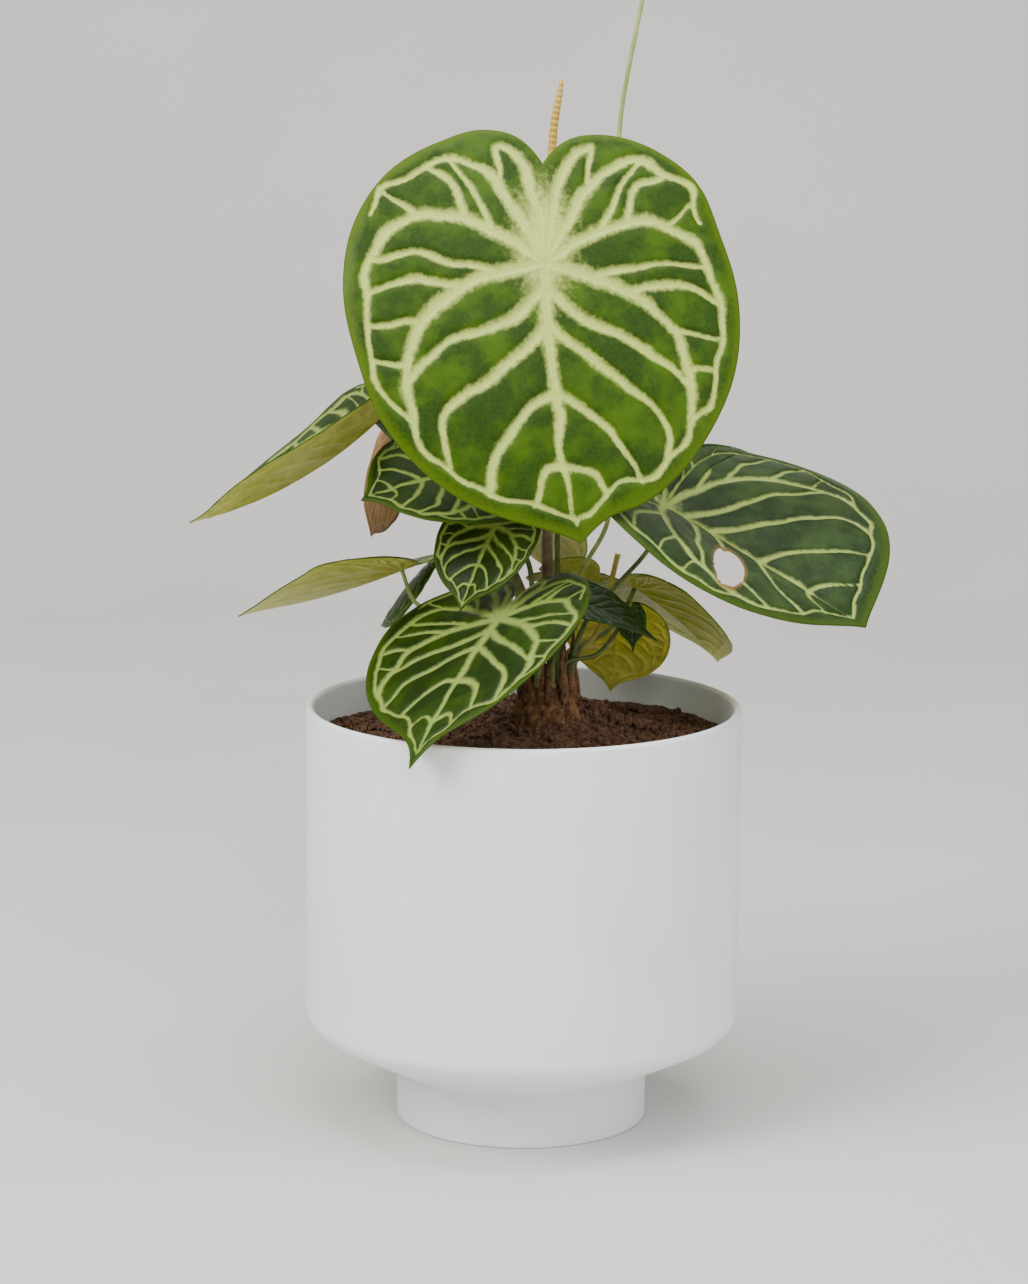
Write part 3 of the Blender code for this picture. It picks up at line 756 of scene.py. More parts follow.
class LeafShape:
    """Lays flat leaf coordinates on the curved blade."""

    def __init__(self, leaf: Leaf) -> None:
        """Works out the directions of the blade.

        Args:
            leaf: the blade's measurements.
        """
        self.leaf = leaf
        heading, rise, roll = (math.radians(v) for v in (leaf.heading, leaf.rise, leaf.roll))
        tip = Vector((math.sin(heading) * math.cos(rise), -math.cos(heading) * math.cos(rise),
                      math.sin(rise)))
        upper = (Vector((0, 0, 1)) - tip.z * tip).normalized()
        upper = math.cos(roll) * upper + math.sin(roll) * tip.cross(upper)
        self.tip, self.upper, self.side = tip, upper, tip.cross(upper)

    def edge(self, angles: Array) -> Array:
        """Distance from the base to the edge.

        Args:
            angles: array of angles from the tip in degrees; the right half is positive.

        Returns:
            Distances in millimetres.
        """
        leaf = self.leaf
        drop = OUTLINE[-1] - leaf.sinus
        usual = OUTLINE + (OUTLINE[-1] - LOBE_END_SHARE * drop, leaf.sinus)
        away = np.abs(angles)
        right = smooth_value(OUTLINE_ANGLES, leaf.outline_right or usual, away)
        left = smooth_value(OUTLINE_ANGLES, leaf.outline_left or usual, away)
        body = np.where(angles > 0, right, left)
        return leaf.length * ((1 - leaf.tip) * body + leaf.tip * np.exp(-away / TIP_SPREAD))

    def flat(self, angles: Array, reaches: Array) -> tuple[Array, Array]:
        """Flat coordinates of the blade: across and along, in millimetres.

        Args:
            angles: angles from the tip in degrees.
            reaches: shares of the way to the edge.

        Returns:
            Two arrays.
        """
        turns = np.radians(angles)
        radius = reaches * self.edge(angles)
        wide = np.where(angles > 0, self.leaf.right, self.leaf.left)
        return radius * np.sin(turns) * wide, radius * np.cos(turns)

    def place(self, across: Array, along: Array, lift: Array) -> Array:
        """World points of flat coordinates.

        Args:
            across: distances to the side of the midrib.
            along: distances towards the tip.
            lift: heights above the middle of the blade.

        Returns:
            An array of points in millimetres.
        """
        leaf = self.leaf
        ahead = along >= 0
        arch = math.radians(leaf.arch or 0.01) / leaf.length
        droop = math.radians(leaf.lobe_droop or 0.01) / (LOBE_LENGTH * leaf.length * leaf.lobes)
        run = np.where(ahead, along, -along * leaf.lobes)
        slope = run * np.where(ahead, arch, droop)
        rate = np.where(ahead, arch, droop)
        advance, drop = np.sin(slope) / rate, (1 - np.cos(slope)) / rate
        facing = np.where(ahead, 1.0, -1.0)
        share = np.where(ahead, along / leaf.length, 0.0)
        fold = np.radians(np.where(across >= 0, leaf.fold_right, leaf.fold_left))
        bend = math.radians(leaf.curl or 0.01) / (CURL_WIDTH * leaf.length)
        width = np.abs(across)
        out = (np.sin(fold + bend * width) - np.sin(fold)) / bend
        up = (np.cos(fold) - np.cos(fold + bend * width)) / bend + lift
        out = np.copysign(out, across) + leaf.sway * leaf.length * share ** 2
        twist = np.radians(leaf.twist) * share
        sideways = out * np.cos(twist) - up * np.sin(twist)
        rise = out * np.sin(twist) + up * np.cos(twist)
        forward = facing * (advance + np.sin(slope) * rise)
        height = np.cos(slope) * rise - drop
        return (np.array(leaf.base) + np.outer(sideways, self.side) + np.outer(forward, self.tip)
                + np.outer(height, self.upper))


class VeinNet:
    """Distances to the veins of a leaf, in its flat coordinates."""

    def __init__(self, shape: LeafShape) -> None:
        """Starts the net of a blade.

        Args:
            shape: the blade that the veins belong to.
        """
        self.shape = shape

    def path(self, vein: Vein, side: int) -> tuple[Array, Array]:
        """A vein's smooth flat path and its half-width along it.

        Args:
            vein: the vein.
            side: 1 for the right half, -1 for the left.

        Returns:
            Points of the path and half-widths, in millimetres.
        """
        angles = np.array([point[0] for point in vein.points], float) * side + 1e-6 * side
        reaches = np.array([point[1] for point in vein.points])
        knots = np.stack(self.shape.flat(angles, reaches), 1)
        steps = np.arange(len(knots))
        at = np.linspace(0, len(knots) - 1, (len(knots) - 1) * VEIN_STEPS + 1)
        points = np.stack([smooth_value(steps, knots[:, axis], at) for axis in (0, 1)], 1)
        share = at / at[-1]
        size = self.shape.leaf.length * self.shape.leaf.bands
        widths = (vein.start + (vein.end - vein.start) * share ** 0.7) * size
        return points, widths

    def measure(self, across: Array, along: Array) -> tuple[Array, Array]:
        """Reads the vein net at flat points.

        Args:
            across: distances to the side of the midrib.
            along: distances towards the tip.

        Returns:
            The signed distance to the nearest vein's middle, and the distance as a share of the
            half-width there, as arrays.
        """
        points = np.stack((across, along), 1)
        signed = np.full(len(points), 1e3)
        share = np.full(len(points), 1e3)
        for side in (1, -1):
            for vein in VEINS:
                if side < 0 and all(point[0] == 0 for point in vein.points):
                    continue
                path, widths = self.path(vein, side)
                for start, end, first, last in zip(path, path[1:], widths, widths[1:]):
                    run = end - start
                    size = float(run @ run)
                    if size < 1e-9:
                        continue
                    t = np.clip(((points - start) @ run) / size, 0, 1)
                    away = points - start - t[:, None] * run
                    distance = np.hypot(away[:, 0], away[:, 1])
                    ratio = distance / (first + (last - first) * t)
                    turn = run[0] * away[:, 1] - run[1] * away[:, 0]
                    nearer = ratio < share
                    share = np.where(nearer, ratio, share)
                    signed = np.where(nearer, np.copysign(distance, turn), signed)
        size = self.shape.leaf.length * self.shape.leaf.patch
        patch = np.hypot(across / (0.1 * size), (along + 0.08 * size) / (0.2 * size))
        return signed, np.minimum(share, patch)


class Workshop:
    """Turns shapes into finished pieces; every sub-assembly uses the same one."""

    def __init__(self) -> None:
        """Starts with no materials and a fixed seed."""
        self.materials: dict[str, Material] = {}
        self.generator = np.random.default_rng(SEED)

    def material(self, name: str, dress: Callable[[Graph], Material]) -> Material:
        """Gives a material, made on first use.

        Args:
            name: the material's name.
            dress: the finish's method that builds it.

        Returns:
            The material.
        """
        if name not in self.materials:
            self.materials[name] = dress(Graph(name))
        return self.materials[name]

    @staticmethod
    def add(name: str, bm: bmesh.types.BMesh, materials: Sequence[Material], slot: str,
            replaced: Sequence[str] = ()) -> bpy.types.Object:
        """Turns a bmesh in millimetres into a piece.

        Args:
            name: the piece's name.
            bm: its shape, which is freed.
            materials: its materials.
            slot: not used.
            replaced: the CAD nodes that it stands for.

        Returns:
            The object.
        """
        bmesh.ops.scale(bm, vec=(MM, MM, MM), verts=bm.verts)
        mesh = bpy.data.meshes.new(name)
        bm.to_mesh(mesh)
        bm.free()
        mesh.shade_smooth()
        obj = bpy.data.objects.new(name, mesh)
        for material in materials:
            mesh.materials.append(material)
        bpy.context.scene.collection.objects.link(obj)
        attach(obj, ROOT)
        if replaced:
            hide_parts(*replaced)
        LOG.info("%s: %d faces", name, len(mesh.polygons))
        return obj

    @staticmethod
    def grid(columns: int, rows: int, place: Reader, weld: float = 0.0005,
             **fields: Reader) -> bmesh.types.BMesh:
        """Lays a grid on a surface.

        Args:
            columns: faces along the first direction.
            rows: faces along the second direction.
            place: gives points for arrays of both shares, from 0 to 1.
            weld: vertices nearer than this are joined.
            fields: attribute names and the functions that give their values.

        Returns:
            The bmesh.
        """
        bm = bmesh.new()
        bmesh.ops.create_grid(bm, x_segments=columns, y_segments=rows, size=0.5)
        shares = np.array([vert.co[:2] for vert in bm.verts]) + 0.5
        layers = {name: bm.verts.layers.float.new(name) for name in fields}
        values = {name: reader(shares[:, 0], shares[:, 1]) for name, reader in fields.items()}
        points = place(shares[:, 0], shares[:, 1])
        for index, vert in enumerate(bm.verts):
            vert.co = points[index]
            for name, layer in layers.items():
                vert[layer] = values[name][index]
        bmesh.ops.remove_doubles(bm, verts=bm.verts, dist=weld)
        return bm

    def tube(self, route: Sequence[Vector], radius: Callable[[Array], Array], sides: int,
             swell: Reader = lambda share, turn: 1.0, **fields: Reader) -> bmesh.types.BMesh:
        """Makes a closed round tube along a route.

        Args:
            route: its points.
            radius: gives the radius for an array of shares of the length.
            sides: faces round it.
            swell: multiplies the radius for a share and a turn.
            fields: attribute names and their functions.

        Returns:
            The bmesh.
        """
        points = np.array([tuple(point) for point in route])
        ahead = np.gradient(points, axis=0)
        ahead /= np.linalg.norm(ahead, axis=1)[:, None]
        across = np.zeros_like(points)
        across[0] = np.cross(ahead[0], (0.0, 1.0, 0.0))
        across[0] /= np.linalg.norm(across[0])
        for index in range(1, len(points)):
            turned = across[index - 1] - (across[index - 1] @ ahead[index]) * ahead[index]
            across[index] = turned / np.linalg.norm(turned)
        over = np.cross(ahead, across)
        rings = len(points)

        def place(u: Array, v: Array) -> Array:
            """Returns points of the tube; the first and the last row close its ends."""
            row = np.rint(v * (rings + 1)).astype(int)
            ring = np.clip(row - 1, 0, rings - 1)
            share = ring / (rings - 1)
            open_ring = ((row > 0) & (row < rings + 1)).astype(float)
            turn = u * math.tau
            reach = radius(share) * open_ring * swell(share, turn)
            return (points[ring] + (reach * np.cos(turn))[:, None] * across[ring]
                    + (reach * np.sin(turn))[:, None] * over[ring])

        bm = self.grid(sides, rings + 1, place, **fields)
        bmesh.ops.recalc_face_normals(bm, faces=bm.faces)
        return bm

    def turned(self, profile: Array, columns: int, centre: Point = (0.0, 0.0),
               shape: Reader | None = None) -> bmesh.types.BMesh:
        """Turns a profile about a vertical axis.

        Args:
            profile: radii and heights.
            columns: faces round it.
            centre: place of the axis.
            shape: moves the points; takes points and turns.

        Returns:
            The bmesh.
        """
        def place(u: Array, v: Array) -> Array:
            """Returns points of the turned shape."""
            row = np.rint(v * (len(profile) - 1)).astype(int)
            turn = (u % 1.0) * math.tau
            points = np.stack((centre[0] + profile[row, 0] * np.cos(turn),
                               centre[1] + profile[row, 0] * np.sin(turn), profile[row, 1]), 1)
            return shape(points, turn) if shape else points

        bm = self.grid(columns, len(profile) - 1, place)
        bmesh.ops.recalc_face_normals(bm, faces=bm.faces)
        return bm


def merge(whole: bmesh.types.BMesh, part: bmesh.types.BMesh) -> None:
    """Copies a bmesh into another and frees it.

    Args:
        whole: the bmesh that grows.
        part: the bmesh that is copied.
    """
    mesh = bpy.data.meshes.new("strand")
    part.to_mesh(mesh)
    part.free()
    whole.from_mesh(mesh)
    bpy.data.meshes.remove(mesh)


def fillet(before: Point, corner: Point, after: Point, steps: int = 6) -> list[Point]:
    """Rounds a corner of a profile.

    Args:
        before: the point before it.
        corner: the corner and its radius of rounding.
        after: the point after it.
        steps: pieces of the rounding.

    Returns:
        Points of the rounded corner.
    """
    middle, reach = Vector(corner[:2]), corner[2]
    enter = middle + (Vector(before) - middle).normalized() * reach
    leave = middle + (Vector(after) - middle).normalized() * reach
    shares = [step / steps for step in range(steps + 1)]
    return [tuple(enter.lerp(middle, t).lerp(middle.lerp(leave, t), t)) for t in shares]


@dataclass(frozen=True)
class Planter:
    """The ceramic planter: an upright wall on a sloping shoulder and a narrower hollow foot."""
    radius: float = 80.0
    height: float = 155.3
    wall: float = 3.0
    foot_radius: float = 46.3
    foot_height: float = 19.3
    foot_wall: float = 4.0
    shoulder_radius: float = 77.6
    shoulder_height: float = 34.7
    wall_start: float = 38.5
    base: float = 4.5
    columns: int = 256
    sharp_angle: float = 35.0

    def build(self, shop: Workshop) -> None:
        """Builds the planter as one turned shell with rounded edges.

        Args:
            shop: makes the piece.
        """
        inner, lip = self.radius - self.wall, self.wall / 2
        corners = [(self.foot_radius, 0, 1.0), (self.foot_radius, self.foot_height, 0.8),
                   (self.shoulder_radius, self.shoulder_height + 0.3, 3.4),
                   (self.radius, self.wall_start + 0.6, 2.2)]
        outside = [(0.0, 0.0)]
        trail = [(0.0, 0.0)] + [corner[:2] for corner in corners] + [(self.radius, self.height - lip)]
        for before, corner, after in zip(trail, corners, trail[2:]):
            outside += fillet(before, corner, after)
        turns = np.linspace(0, math.pi, 13)
        rim = [(self.radius - lip + lip * math.cos(t), self.height - lip + lip * math.sin(t))
               for t in turns]
        hollow = self.foot_radius - self.foot_wall
        inside = [(inner, self.wall_start + self.wall),
                  (self.shoulder_radius - self.wall, self.shoulder_height + self.wall),
                  (hollow, self.foot_height + self.wall), (hollow, self.base), (0.0, self.base)]
        material = shop.material("ceramic", CeramicFinish().dress)
        bm = shop.turned(np.array(outside + rim + inside), self.columns)
        obj = shop.add("planter_body", bm, (material,), "ceramic", ("planter",))
        obj.data.set_sharp_from_angle(angle=math.radians(self.sharp_angle))


@dataclass(frozen=True)
class PottingMix:
    """The mix: a lumpy surface over a plain filling, with loose crumbs and clods on it."""
    planter: Planter = Planter()
    clearance: float = 0.3
    columns: int = 360
    rings: int = 90
    filling_base: float = 8.0
    mound_spread: float = 26.0
    heap_height: float = 7.0       # loose mix drawn up round the crown
    heap_spread: float = 19.0
    ridge_height: float = 6.0      # a low bank of mix from the crown to the right
    ridge_width: float = 9.0
    crumbs: int = 2600
    ridge_crumbs: int = 70
    clod_size: float = 2.4
    clods: tuple[Point, ...] = ((27, -1, 3.4), (35, -3, 2.5), (-12, -14, 2.6), (42, -2, 2.5))

    def ground(self, x: Array, y: Array) -> Array:
        """Height of the mix without its lumps.

        Args:
            x: places to the side.
            y: places to the back.

        Returns:
            Heights in millimetres.
        """
        away = np.hypot(x - CROWN_CENTRE[0], y - CROWN_CENTRE[1])
        gentle = 0.5 * np.sin(x / 13) * np.cos(y / 17) * np.minimum(1.0, away / 40)
        heap = self.heap_height * np.exp(-(away / self.heap_spread) ** 2)
        along = np.clip((x - 5) / 65, 0, 1)
        across = np.exp(-(y / self.ridge_width) ** 2)
        ridge = self.ridge_height * (1 - 0.6 * along) * across * np.clip((76 - x) / 12, 0, 1)
        mound = MOUND_HEIGHT * np.exp(-(away / self.mound_spread) ** 2)
        return SOIL_HEIGHT + mound + gentle + heap + ridge * np.clip(x / 14, 0, 1)

    def lumps(self, points: Array, turn: Array) -> Array:
        """Lifts the surface to the ground's height and makes it lumpy.

        Args:
            points: points of the plain turned shape.
            turn: their angles, which don't matter here.

        Returns:
            The moved points.
        """
        top = points[:, 2] > SOIL_HEIGHT - 1
        height = self.ground(points[:, 0], points[:, 1])
        coarse = ripples(points, 9.0, 1) * 0.7 + ripples(points, 2.6, 2) * 0.65
        lump = coarse + ripples(points, 1.1, 3) * 0.3
        points[:, 2] = np.where(top, height + lump - 0.2, points[:, 2])
        return points

    def crumb(self, shop: Workshop, bm: bmesh.types.BMesh, x: float, y: float, size: float) -> None:
        """Adds one rough crumb that rests on the mix; a large one is a clod with a finer surface.

        Args:
            shop: gives the random numbers.
            bm: the bmesh that it joins.
            x: place to the side.
            y: place to the back.
            size: radius.
        """
        clod = size > self.clod_size
        made = bmesh.ops.create_icosphere(bm, subdivisions=4 if clod else 1, radius=size)["verts"]
        height = float(self.ground(np.array([x]), np.array([y]))[0])
        for vert in made:
            if clod:
                vert.co *= 0.9 + 0.35 * noise.noise(vert.co * 0.5) + 0.16 * noise.noise(vert.co * 1.6)
            else:
                vert.co *= 0.75 + 0.5 * shop.generator.random()
            vert.co += Vector((x, y, height + size * 0.35))

    def build(self, shop: Workshop) -> None:
        """Builds the surface, then the crumbs.

        Args:
            shop: makes the pieces.
        """
        radius = self.planter.radius - self.planter.wall - self.clearance
        foot = self.planter.foot_radius - self.planter.foot_wall - 1
        side = [(0.0, self.filling_base), (foot, self.filling_base), (foot, 23.0), (radius - 3, 44.0),
                (radius, 60.0)]
        top = [(reach, SOIL_HEIGHT) for reach in np.linspace(radius, 0.0, self.rings)]
        earth = shop.material("earth", EarthFinish().dress)
        bm = shop.turned(np.array(side + top), self.columns, shape=self.lumps)
        shop.add("mix_surface", bm, (earth,), "potting_mix", ("potting_mix",))
        bm = bmesh.new()
        chance = shop.generator
        for _ in range(self.crumbs):
            spread = chance.random() ** 0.5 * (radius - 3)
            turn = chance.random() * math.tau
            size = 0.4 + 1.3 * chance.random() ** 3
            self.crumb(shop, bm, spread * math.cos(turn), spread * math.sin(turn), size)
        for _ in range(self.ridge_crumbs):
            along = chance.random()
            x = 24 + 24 * along + chance.normal() * 1.6
            y = -4 + 8 * along + chance.normal() * 2.4
            self.crumb(shop, bm, x, y, 0.8 + 1.5 * chance.random())
        for x, y, size in self.clods:
            self.crumb(shop, bm, x, y, size)
        shop.add("mix_crumbs", bm, (earth,), "potting_mix")


@dataclass(frozen=True)
class Crown:
    """The fibrous stump that every stalk grows from, with loose fibres and dry husks."""
    radius: float = 12.0
    rest: float = SOIL_HEIGHT + MOUND_HEIGHT
    rows: int = 46
    columns: int = 160
    fibres: int = 110
    husks: int = 13

    @staticmethod
    def rough(points: Array, turn: Array) -> Array:
        """Makes the stump rough and ridged.

        Args:
            points: points of the plain turned shape.
            turn: their angles.

        Returns:
            The moved points.
        """
        squeezed = points * np.array([1.0, 1.0, 0.35])
        rough_share = ripples(squeezed, 3.2, 5) * 0.13 + ripples(squeezed, 1.3, 6) * 0.09
        ridges = 0.05 * np.cos(turn * 9 + points[:, 2] * 0.12)
        grow = 1 + rough_share + ridges
        for axis in (0, 1):
            points[:, axis] = CROWN_CENTRE[axis] + (points[:, axis] - CROWN_CENTRE[axis]) * grow
        return points

    def build(self, shop: Workshop) -> None:
        """Builds the stump, then its fibres and husks.

        Args:
            shop: makes the pieces.
        """
        heights = np.linspace(self.rest - 3, CROWN_TOP + 1.5, self.rows)
        share = (heights - heights[0]) / (heights[-1] - heights[0])
        radii = self.radius * (1.2 - 0.48 * share + 0.1 * np.exp(-((share - 0.45) / 0.2) ** 2))
        profile = np.array([(0.0, self.rest - 3), *zip(radii, heights), (0.0, heights[-1] - 1.5)])
        fibre = shop.material("fibre", FibreFinish().dress)
        bm = shop.turned(profile, self.columns, CROWN_CENTRE, self.rough)
        shop.add("crown_stump", bm, (fibre,), "fibre", ("crown",))
        self.loose_fibres(shop, fibre)
        self.dry_husks(shop)

    def loose_fibres(self, shop: Workshop, fibre: Material) -> None:
        """Builds thin fibres that lean on the stump.

        Args:
            shop: makes the piece.
            fibre: its material.
        """
        whole = bmesh.new()
        chance = shop.generator
        for _ in range(self.fibres):
            turn = chance.random() * math.tau
            foot = 0.85 + 0.3 * chance.random()
            points = []
            for step in range(5):
                rise = step / 4
                reach = self.radius * (foot - 0.32 * rise) + chance.normal() * 0.5
                lean = turn + chance.normal() * 0.05
                points.append((CROWN_CENTRE[0] + reach * math.cos(lean),
                               CROWN_CENTRE[1] + reach * math.sin(lean),
                               self.rest + 1 + rise * (10 + 12 * chance.random())))
            merge(whole, shop.tube(smooth_route(points, 3), self.fibre_width, 5))
        shop.add("crown_fibres", whole, (fibre,), "fibre")

    @staticmethod
    def fibre_width(share: Array) -> Array:
        """Returns a fibre's radius at shares of its length."""
        return 0.16 + 0.24 * np.sin(math.pi * share) * (1 - share)

    def dry_husks(self, shop: Workshop) -> None:
        """Builds the dry husks that stand round the stalks' feet.

        Args:
            shop: makes the piece.
        """
        whole = bmesh.new()
        chance = shop.generator
        for index in range(self.husks):
            turn = math.tau * index / self.husks + chance.normal() * 0.1
            height = 9 + 12 * chance.random()
            thick = 1.7 + 0.8 * chance.random()
            profile = ((9.6, CROWN_TOP - 6), (9.4, CROWN_TOP), (8.6, CROWN_TOP + height / 2),
                       (8.9, CROWN_TOP + height))
            points = [(CROWN_CENTRE[0] + reach * math.cos(turn), CROWN_CENTRE[1] + reach * math.sin(turn), z)
                      for reach, z in profile]
            route = smooth_route(points, 6)
            merge(whole, shop.tube(route, lambda share, t=thick: t * (1 - 0.85 * share ** 1.5), 10))
        shop.add("crown_husks", whole, (shop.material("husk", FibreFinish().dress),), "fibre")


class Blade:
    """One blade with its veins, cushions and rippled edge."""

    def __init__(self, leaf: Leaf) -> None:
        """Sets up the blade's shape and its veins.

        Args:
            leaf: the blade's measurements.
        """
        self.leaf = leaf
        self.shape = LeafShape(leaf)
        self.net = VeinNet(self.shape)
        self.read: tuple[Array, Array] | None = None

    def flat(self, u: Array, v: Array) -> tuple[Array, Array]:
        """Returns flat coordinates for shares of the turn and of the way to the edge."""
        return self.shape.flat((u * 2 - 1) * 180.0, v)

    def measure(self, u: Array, v: Array) -> tuple[Array, Array]:
        """Reads the vein net once for the whole grid, with veins that wander a little.

        Args:
            u: shares of the turn.
            v: shares of the way to the edge.

        Returns:
            The signed distances to the veins, and the distances as shares of their widths.
        """
        if self.read is None:
            leaf = self.leaf
            across, along = self.flat(u, v)
            spots = np.stack((across, along, np.zeros_like(across)), 1) / leaf.length
            wander = WANDER * leaf.length * v
            across = across + wander * ripples(spots, 0.13, leaf.length)
            along = along + wander * ripples(spots, 0.13, leaf.length + 1)
            self.read = self.net.measure(across, along)
        return self.read

    def scar(self, u: Array, v: Array) -> Array:
        """Measures how far points are from the dry tip and from the torn hole.

        Args:
            u: shares of the turn.
            v: shares of the way to the edge.

        Returns:
            Distances, which are negative in the hole.
        """
        across, along = self.flat(u, v)
        tip_side = (1.04 - along / self.leaf.length) * 9.0
        if not self.leaf.hole:
            return tip_side
        x, y, long_x, long_y, short_x, short_y = self.leaf.hole
        size = long_x * short_y - short_x * long_y
        lengthwise = ((across - x) * short_y - (along - y) * short_x) / size
        widthwise = ((along - y) * long_x - (across - x) * long_y) / size
        return np.minimum(tip_side, np.hypot(lengthwise, widthwise) - 1)

    def place(self, u: Array, v: Array) -> Array:
        """Lays points on the blade, with cushions between the veins and a rippled edge.

        Args:
            u: shares of the turn.
            v: shares of the way to the edge.

        Returns:
            The points.
        """
        leaf = self.leaf
        across, along = self.flat(u, v)
        signed, share = self.measure(u, v)
        inner = np.clip((share - 0.4) / 2.2, 0, 1)
        cushion = leaf.relief * (inner * (2 - inner) - np.exp(-(signed / 0.9) ** 2) * 0.35)
        cushion = cushion * np.clip((1 - v) / 0.06, 0, 1)
        flutter = np.stack((across, along, np.zeros_like(across)), 1)
        wave = leaf.ripple * ripples(flutter, leaf.length * 0.16, leaf.length) * v ** 3
        return self.shape.place(across, along, cushion + wave)

    def build(self, shop: Workshop, slot: str) -> None:
        """Builds the blade.

        Args:
            shop: makes the piece.
            slot: passed on to the workshop, which does not use it.
        """
        leaf = self.leaf
        bm = shop.grid(leaf.columns, leaf.rows, self.place, BLADE_WELD,
                       vein_share=lambda u, v: self.measure(u, v)[1],
                       vein_offset=lambda u, v: self.measure(u, v)[0], reach=lambda u, v: v,
                       scar=self.scar)
        if leaf.hole:
            layer = bm.verts.layers.float["scar"]
            torn = [vert for vert in bm.verts if vert[layer] < 0]
            bmesh.ops.delete(bm, geom=torn, context="VERTS")
        finish = LEAF_FINISHES[leaf.look]
        materials = (shop.material(f"leaf_{leaf.look.value}", finish.upper),
                     shop.material(f"leaf_{leaf.look.value}_under", finish.underside))
        obj = shop.add(leaf.name, bm, materials, slot, (leaf.name,))
        shell = obj.modifiers.new("thickness", "SOLIDIFY")
        shell.thickness = BLADE_THICKNESS * MM
        shell.offset = 0
        shell.material_offset = 1
        shell.material_offset_rim = 0


@dataclass(frozen=True)
class Stalks:
    """Every leaf stalk, both flower stalks and the old stalk."""
    sides: int = 20
    steps: int = 12                # pieces between two points of a route
    swelling: float = 0.12         # how much wider the head is
    foot_swelling: float = 0.1
    swelling_length: float = 0.05
    ribs: int = 5
    rib_depth: float = 0.05

    def build(self, shop: Workshop) -> None:
        """Builds the stalks.

        Args:
            shop: makes the pieces.
        """
        by_name = {leaf.name: leaf for leaf in LEAVES}
        for stalk in STALKS:
            leaf = by_name[stalk.leaf]
            upper = LeafShape(leaf).upper
            foot = self.foot(*stalk.foot)
            end = Vector(leaf.base) - upper * (BLADE_THICKNESS / 2)
            points = [foot, foot + Vector((0, 0, stalk.rise)), *stalk.route, end - stalk.lead * upper, end]
            name = leaf.name.replace("leaf", "stalk")
            self.stalk(shop, name, points, stalk.radius, stalk.taper, stalk.finish)
        for free in FREE_STALKS:
            foot = self.foot(*free.foot)
            points = [foot, foot + Vector((0, 0, free.rise)), *free.route]
            self.stalk(shop, free.name, points, free.radius, free.taper, free.finish)

    @staticmethod
    def foot(direction: float, distance: float) -> Vector:
        """Finds a point on the crown's top.

        Args:
            direction: compass direction from its centre in degrees.
            distance: distance from its centre.

        Returns:
            The point.
        """
        turn = math.radians(direction)
        return Vector((CROWN_CENTRE[0] + distance * math.sin(turn),
                       CROWN_CENTRE[1] - distance * math.cos(turn), CROWN_TOP + STALK_GAP))

    def stalk(self, shop: Workshop, name: str, points: Sequence[Point], radius: float, taper: float,
              look: StalkLook) -> None:
        """Builds a stalk with a slightly swollen foot and head.

        Args:
            shop: makes the piece.
            name: the CAD node that it stands for.
            points: its route.
            radius: its radius at the foot.
            taper: the share of the radius left at the head.
            look: its colours.
        """
        def width(share: Array) -> Array:
            """Returns the radius at shares of the length."""
            head = self.swelling * np.exp(-((1 - share) / self.swelling_length) ** 2)
            ends = head + self.foot_swelling * np.exp(-(share / self.swelling_length) ** 2)
            return radius * (1 + (taper - 1) * share) * (1 + ends)

        def ribbed(share: Array, turn: Array) -> Array:
            """Returns the ribs that run along the stalk."""
            return 1 + self.rib_depth * np.cos(turn * self.ribs + share * 3)

        material = shop.material(look.value, STALK_FINISHES[look].dress)
        bm = shop.tube(smooth_route(points, self.steps), width, self.sides, ribbed,
                       reach=lambda u, v: v)
        shop.add(name, bm, (material,), "stalk", (name,))


@dataclass(frozen=True)
class Spadix:
    """A spadix covered in knobs set in crossing spirals."""
    name: str
    route: tuple[Point, ...]
    radius: float
    around: int = 5
    rows_per_point: int = 11
    spiral: float = 1.4
    sides: int = 48

    def knob(self, share: Array, turn: Array) -> Array:
        """Returns the height of the knobs, from 0 to 1, for shares of the length and turns."""
        climb = share * len(self.route) * self.rows_per_point * self.spiral
        first, second = np.cos(turn * self.around + climb), np.cos(turn * self.around - climb)
        return np.clip((first * second + 1) / 2, 0, 1)

    def width(self, share: Array) -> Array:
        """Returns the radius at shares of the length."""
        at = share * (len(SPADIX_PROFILE) - 1)
        return self.radius * smooth_value(range(len(SPADIX_PROFILE)), SPADIX_PROFILE, at)

    def build(self, shop: Workshop) -> None:
        """Builds the spadix.

        Args:
            shop: makes the piece.
        """
        bm = shop.tube(smooth_route(self.route, 40), self.width, self.sides,
                       lambda share, turn: 0.88 + 0.17 * self.knob(share, turn),
                       knob=lambda u, v: self.knob(v, u * math.tau))
        shop.add(self.name, bm, (shop.material("spadix", SpadixFinish().dress),), "spadix", (self.name,))


SPADICES = (Spadix("spadix", SPADIX_ROUTE, 1.6), Spadix("young_spadix", YOUNG_SPADIX_ROUTE, 1.4))


@dataclass(frozen=True)
class Lamp:
    """A soft square light; its place and side are in metres, its power is in watts."""
    name: str
    place: Point
    size: float
    power: float
    colour: Colour


LAMPS = (
    Lamp("key", (-1.3, -1.1, 1.5), 1.1, 48, (1.0, 0.98, 0.95)),
    Lamp("front", (0.3, -1.7, 1.5), 0.9, 14, (1.0, 0.99, 0.97)),
    Lamp("fill", (1.6, -1.0, 0.9), 1.8, 16, (0.93, 0.97, 1.0)),
    Lamp("top", (0.1, -0.2, 1.9), 1.4, 30, (1.0, 1.0, 1.0)),
)


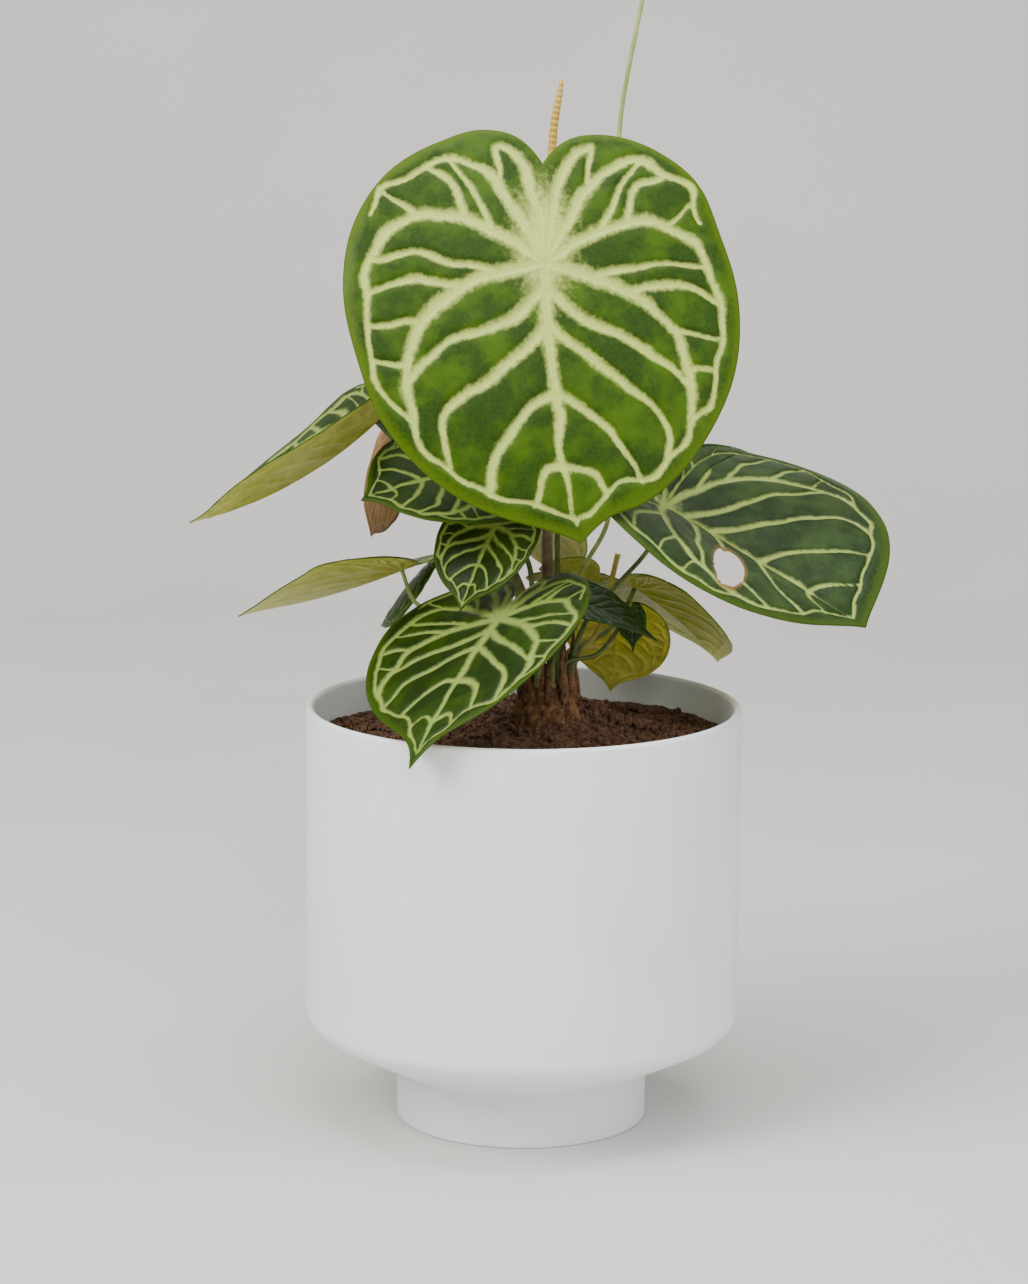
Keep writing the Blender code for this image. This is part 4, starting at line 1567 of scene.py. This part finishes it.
@dataclass(frozen=True)
class Studio:
    """The floor, the lights and the camera; places and sizes are in metres, angles in degrees."""
    focal_length: float = 102.5
    camera_place: Point = (-0.0038, -1.3155, 0.4241)
    camera_pitch: float = 79.42    # from straight down
    camera_roll: float = 0.41
    aim: Point = (0, 0, 0.2)
    sky: Point = (0.86, 0.88, 0.9, 1)
    sky_strength: float = 0.6
    floor_width: float = 18.0
    floor_length: float = 13.0
    floor_front: float = -9.0
    floor_back: float = 1.0        # where the floor starts to curve up
    floor_bend: float = 0.8

    def build(self) -> None:
        """Adds everything that isn't part of the object."""
        self.floor()
        for lamp in LAMPS:
            self.light(lamp)
        world = bpy.data.worlds.new("studio")
        world.use_nodes = True
        background = world.node_tree.nodes["Background"]
        background.inputs["Color"].default_value = self.sky
        background.inputs["Strength"].default_value = self.sky_strength
        bpy.context.scene.world = world
        self.camera()

    def floor(self) -> None:
        """Adds a plain pale floor that curves up into a backdrop."""
        bm = bmesh.new()
        bmesh.ops.create_grid(bm, x_segments=1, y_segments=160, size=0.5)
        quarter = math.pi / 2
        for vert in bm.verts:
            run = (vert.co.y + 0.5) * self.floor_length + self.floor_front
            bend = min(max(run - self.floor_back, 0.0) / self.floor_bend, quarter)
            wall = max(run - self.floor_back - self.floor_bend * quarter, 0.0)
            vert.co = Vector((vert.co.x * self.floor_width,
                              min(run, self.floor_back) + self.floor_bend * math.sin(bend),
                              self.floor_bend * (1 - math.cos(bend)) + wall))
        mesh = bpy.data.meshes.new("floor")
        bm.to_mesh(mesh)
        bm.free()
        mesh.shade_smooth()
        mesh.materials.append(FloorFinish().dress(Graph("floor")))
        obj = bpy.data.objects.new("floor", mesh)
        bpy.context.scene.collection.objects.link(obj)

    def light(self, lamp: Lamp) -> None:
        """Adds a lamp that faces the plant.

        Args:
            lamp: the lamp.
        """
        data = bpy.data.lights.new(lamp.name, "AREA")
        data.size = lamp.size
        data.energy = lamp.power
        data.color = lamp.colour
        obj = bpy.data.objects.new(lamp.name, data)
        obj.location = lamp.place
        aim = Vector(self.aim) - Vector(lamp.place)
        obj.rotation_euler = aim.to_track_quat("-Z", "Y").to_euler()
        bpy.context.scene.collection.objects.link(obj)

    def camera(self) -> None:
        """Adds the camera a little above the planter's rim, in front of the tall leaf."""
        data = bpy.data.cameras.new("camera")
        data.lens = self.focal_length
        obj = bpy.data.objects.new("camera", data)
        obj.matrix_world = (Matrix.Translation(self.camera_place)
                            @ Matrix.Rotation(math.radians(self.camera_pitch), 4, "X")
                            @ Matrix.Rotation(math.radians(self.camera_roll), 4, "Z"))
        bpy.context.scene.collection.objects.link(obj)
        bpy.context.scene.camera = obj


def main() -> None:
    """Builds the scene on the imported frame."""
    logging.basicConfig(level=logging.INFO, format="%(message)s")
    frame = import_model()
    LOG.info("frame with %d nodes", len(frame["nodes"]))
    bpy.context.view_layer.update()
    shop = Workshop()
    planter = Planter()
    planter.build(shop)
    PottingMix(planter).build(shop)
    Crown().build(shop)
    for leaf in LEAVES:
        Blade(leaf).build(shop, "foliage")
    for spathe in SPATHES:
        Blade(spathe).build(shop, "spathe")
    Stalks().build(shop)
    for spadix in SPADICES:
        spadix.build(shop)
    Studio().build()


if __name__ == "__main__":
    main()
